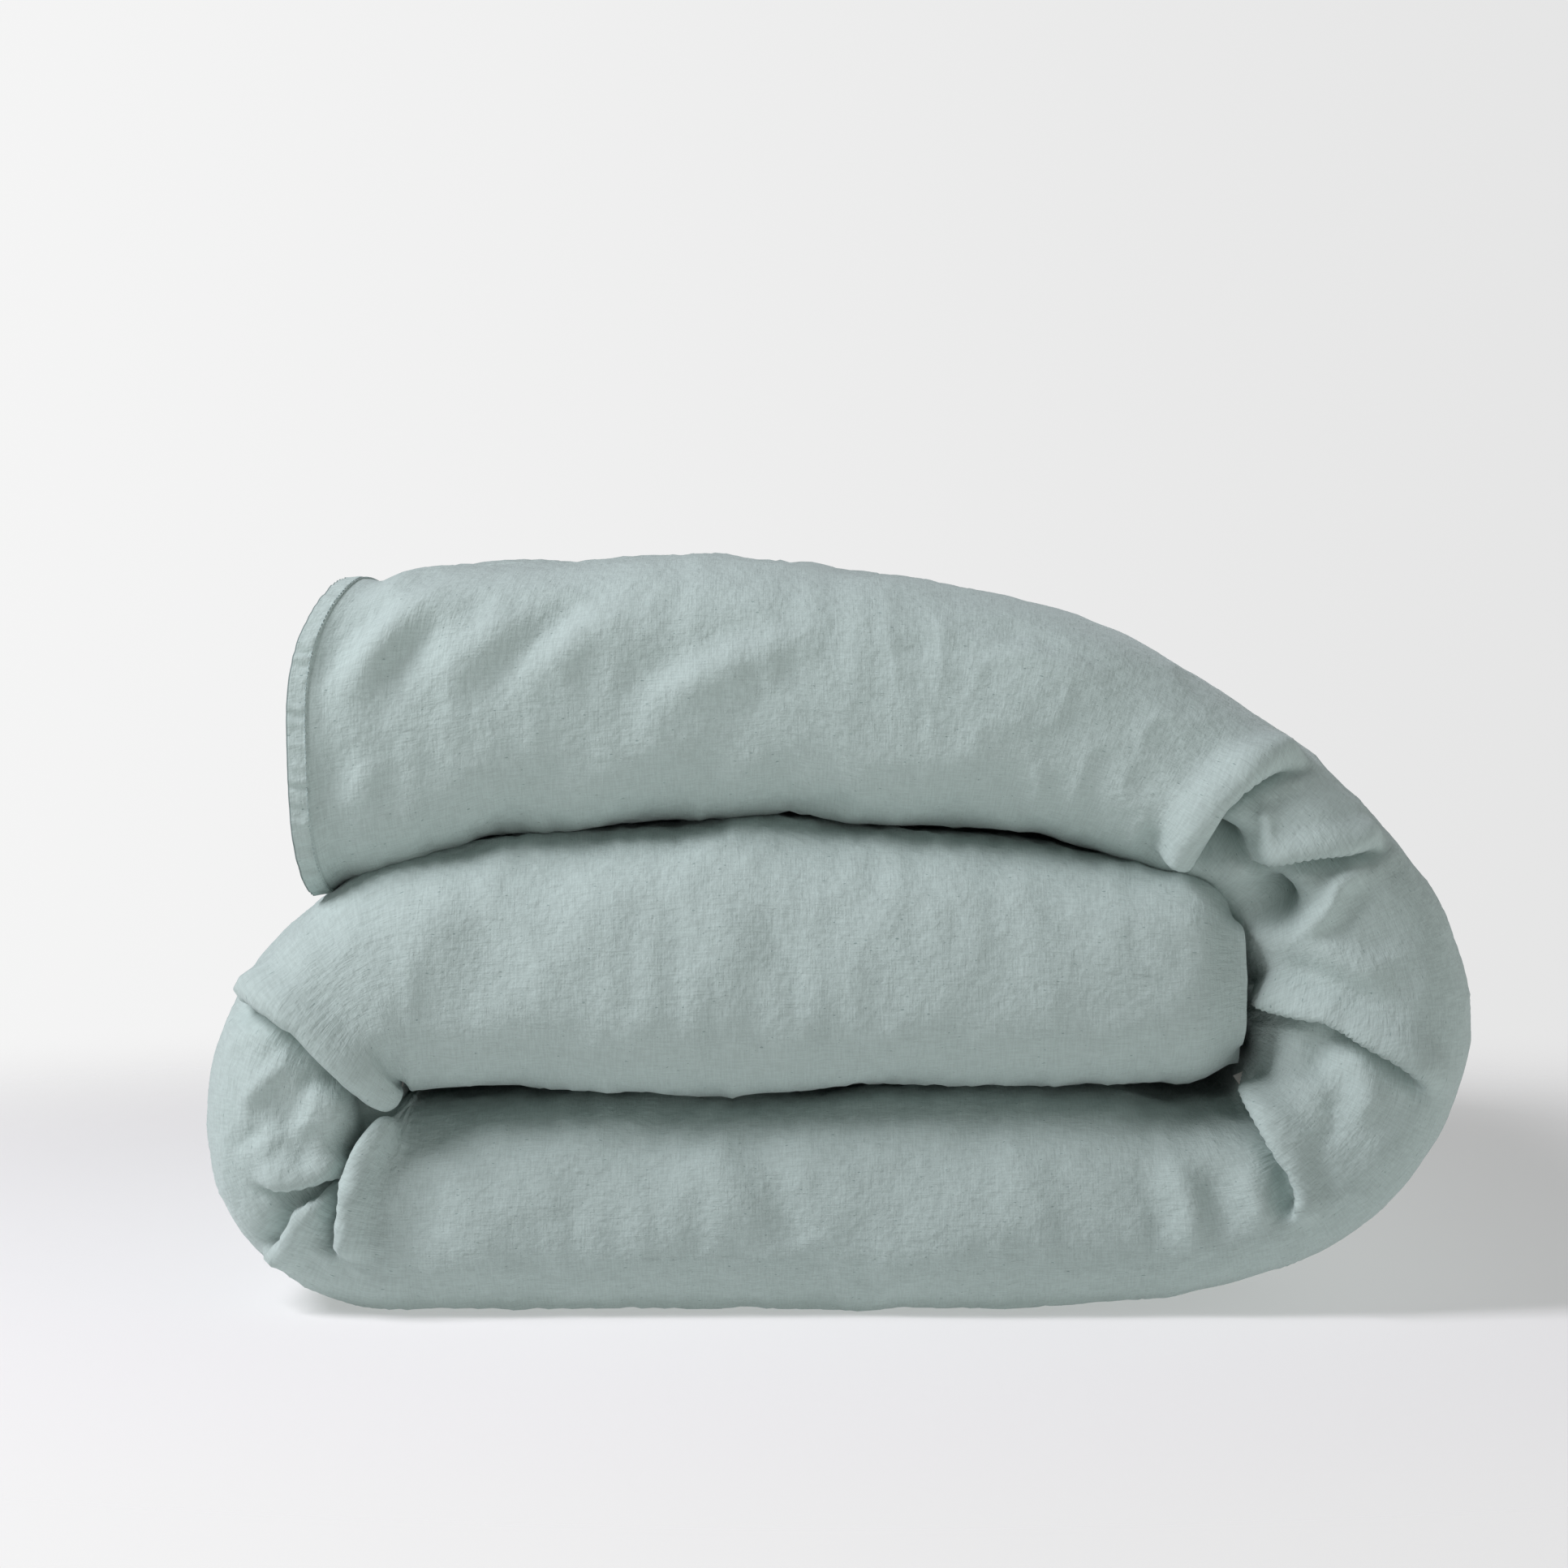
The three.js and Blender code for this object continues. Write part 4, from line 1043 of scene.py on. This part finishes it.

# The studio: a pale room, brighter on the left, one large soft light from the upper left, and a white floor
# that fades into the room. The floor glows a little: painted light that lifts its shade and lights the pile.
studio = {
    "left": "f7f7f7", "right": "e3e3e3", "leftEdge": -0.3, "rightEdge": 0.3,
    "lowLight": 1.05, "lowFrom": -0.3, "lowTo": 0.3, "rightLight": 0.70, "rightFrom": -0.3, "rightTo": 1.0,
    "keyPlace": (-2.5, -1.5, 2.7), "keyAim": (0, 0, 0.25), "keySize": 1.6, "keyPower": 140,
    "keyColour": (1.0, 0.97, 1.03),
    # the floor's glow is painted light: it brightens the floor's shadow and lights the pile's underside
    "floor": "c4c4c4", "floorGlow": 0.34, "floorRadius": 3.0, "floorSides": 64,
    "fadeFrom": 0.55, "fadeTo": 1.7,
}


# The room's colour as seen, running from left to right; as a light it comes from low down and from the right.
def buildWorld(s):
    world = bpy.data.worlds.new("studio")
    bpy.context.scene.world = world
    world.use_nodes = True
    background = world.node_tree.nodes["Background"]
    toward = addNode(world, "TexCoord").outputs["Generated"]
    sideways = addNode(world, "SeparateXYZ", Vector=toward).outputs["X"]
    share = addNode(world, "MapRange", {"interpolation_type": "SMOOTHSTEP"}, Value=sideways, **{
        "From Min": s["leftEdge"], "From Max": s["rightEdge"]}).outputs[0]
    colour = addNode(world, "Mix", {"data_type": "RGBA"}, Factor=share, in6=linear(s["left"]),
                     in7=linear(s["right"])).outputs[2]
    seen = addNode(world, "LightPath").outputs["Is Camera Ray"]
    upward = addNode(world, "SeparateXYZ", Vector=toward).outputs["Z"]
    low = addNode(world, "MapRange", {"interpolation_type": "SMOOTHSTEP"}, Value=upward, **{
        "From Min": s["lowFrom"], "From Max": s["lowTo"], "To Min": s["lowLight"], "To Max": 0.0}).outputs[0]
    right = addNode(world, "MapRange", {"interpolation_type": "SMOOTHSTEP"}, Value=sideways, **{
        "From Min": s["rightFrom"], "From Max": s["rightTo"], "To Max": s["rightLight"]}).outputs[0]
    given = addNode(world, "Math", {"operation": "ADD"}, in0=low, in1=right).outputs[0]
    strength = addNode(world, "Mix", Factor=seen, in2=given, in3=1.0).outputs[0]
    world.node_tree.links.new(colour, background.inputs["Color"])
    world.node_tree.links.new(strength, background.inputs["Strength"])
    bpy.context.scene.view_settings.view_transform = "Standard"


# One large square light, turned towards its aim.
def buildKey(s):
    data = bpy.data.lights.new("key", "AREA")
    data.shape = "SQUARE"
    data.size = s["keySize"]
    data.energy = s["keyPower"]
    data.color = s["keyColour"]
    lamp = bpy.data.objects.new("key", data)
    lamp.location = s["keyPlace"]
    aim = Vector(s["keyAim"]) - Vector(s["keyPlace"])
    lamp.rotation_euler = aim.to_track_quat("-Z", "Y").to_euler()
    bpy.context.scene.collection.objects.link(lamp)


# A matt floor: no gloss, and its alpha falls from its middle to its edge. It glows white: painted light that
# lifts its shade.
def buildFloor(s):
    turns = np.linspace(0, 2 * math.pi, s["floorSides"], endpoint=False)
    ring = s["floorRadius"] * np.stack([np.cos(turns), np.sin(turns), 0 * turns], axis=-1)
    mesh = bpy.data.meshes.new("floor")
    mesh.from_pydata(ring.tolist(), [], [list(range(len(ring)))])
    floor = bpy.data.objects.new("floor", mesh)
    bpy.context.scene.collection.objects.link(floor)
    # The white emission is painted light, standing in for light thrown back by the floor and lifting its
    # shadow.
    material, shader = newMaterial("glowingFloor", {
        "Base Color": linear(s["floor"]), "Roughness": 0.9, "Emission Color": linear("ffffff"),
        "Emission Strength": s["floorGlow"]})
    place = addNode(material, "TexCoord").outputs["Object"]
    far = addNode(material, "VectorMath", {"operation": "LENGTH"}, in0=place).outputs["Value"]
    solid = addNode(material, "MapRange", {"interpolation_type": "SMOOTHERSTEP"}, Value=far, **{
        "From Min": s["fadeFrom"], "From Max": s["fadeTo"], "To Min": 1.0, "To Max": 0.0}).outputs[0]
    material.node_tree.links.new(solid, shader.inputs["Alpha"])
    mesh.materials.append(material)


# The camera looks along +Y at the target, from a little above it.
cameraView = {"lens": 106, "sensor": 36, "target": (-0.031, -0.5, 0.344), "distance": 3.0, "elevation": 2.3}


def buildCamera(c):
    data = bpy.data.cameras.new("camera")
    data.lens = c["lens"]
    data.sensor_width = c["sensor"]
    camera = bpy.data.objects.new("camera", data)
    elevation = math.radians(c["elevation"])
    back = Vector((0, -math.cos(elevation), math.sin(elevation)))
    camera.location = Vector(c["target"]) + c["distance"] * back
    camera.rotation_euler = (math.pi / 2 - elevation, 0, 0)
    bpy.context.scene.collection.objects.link(camera)
    bpy.context.scene.camera = camera


buildWorld(studio)
buildKey(studio)
buildFloor(studio)
buildCamera(cameraView)
print("room, light, floor and camera")
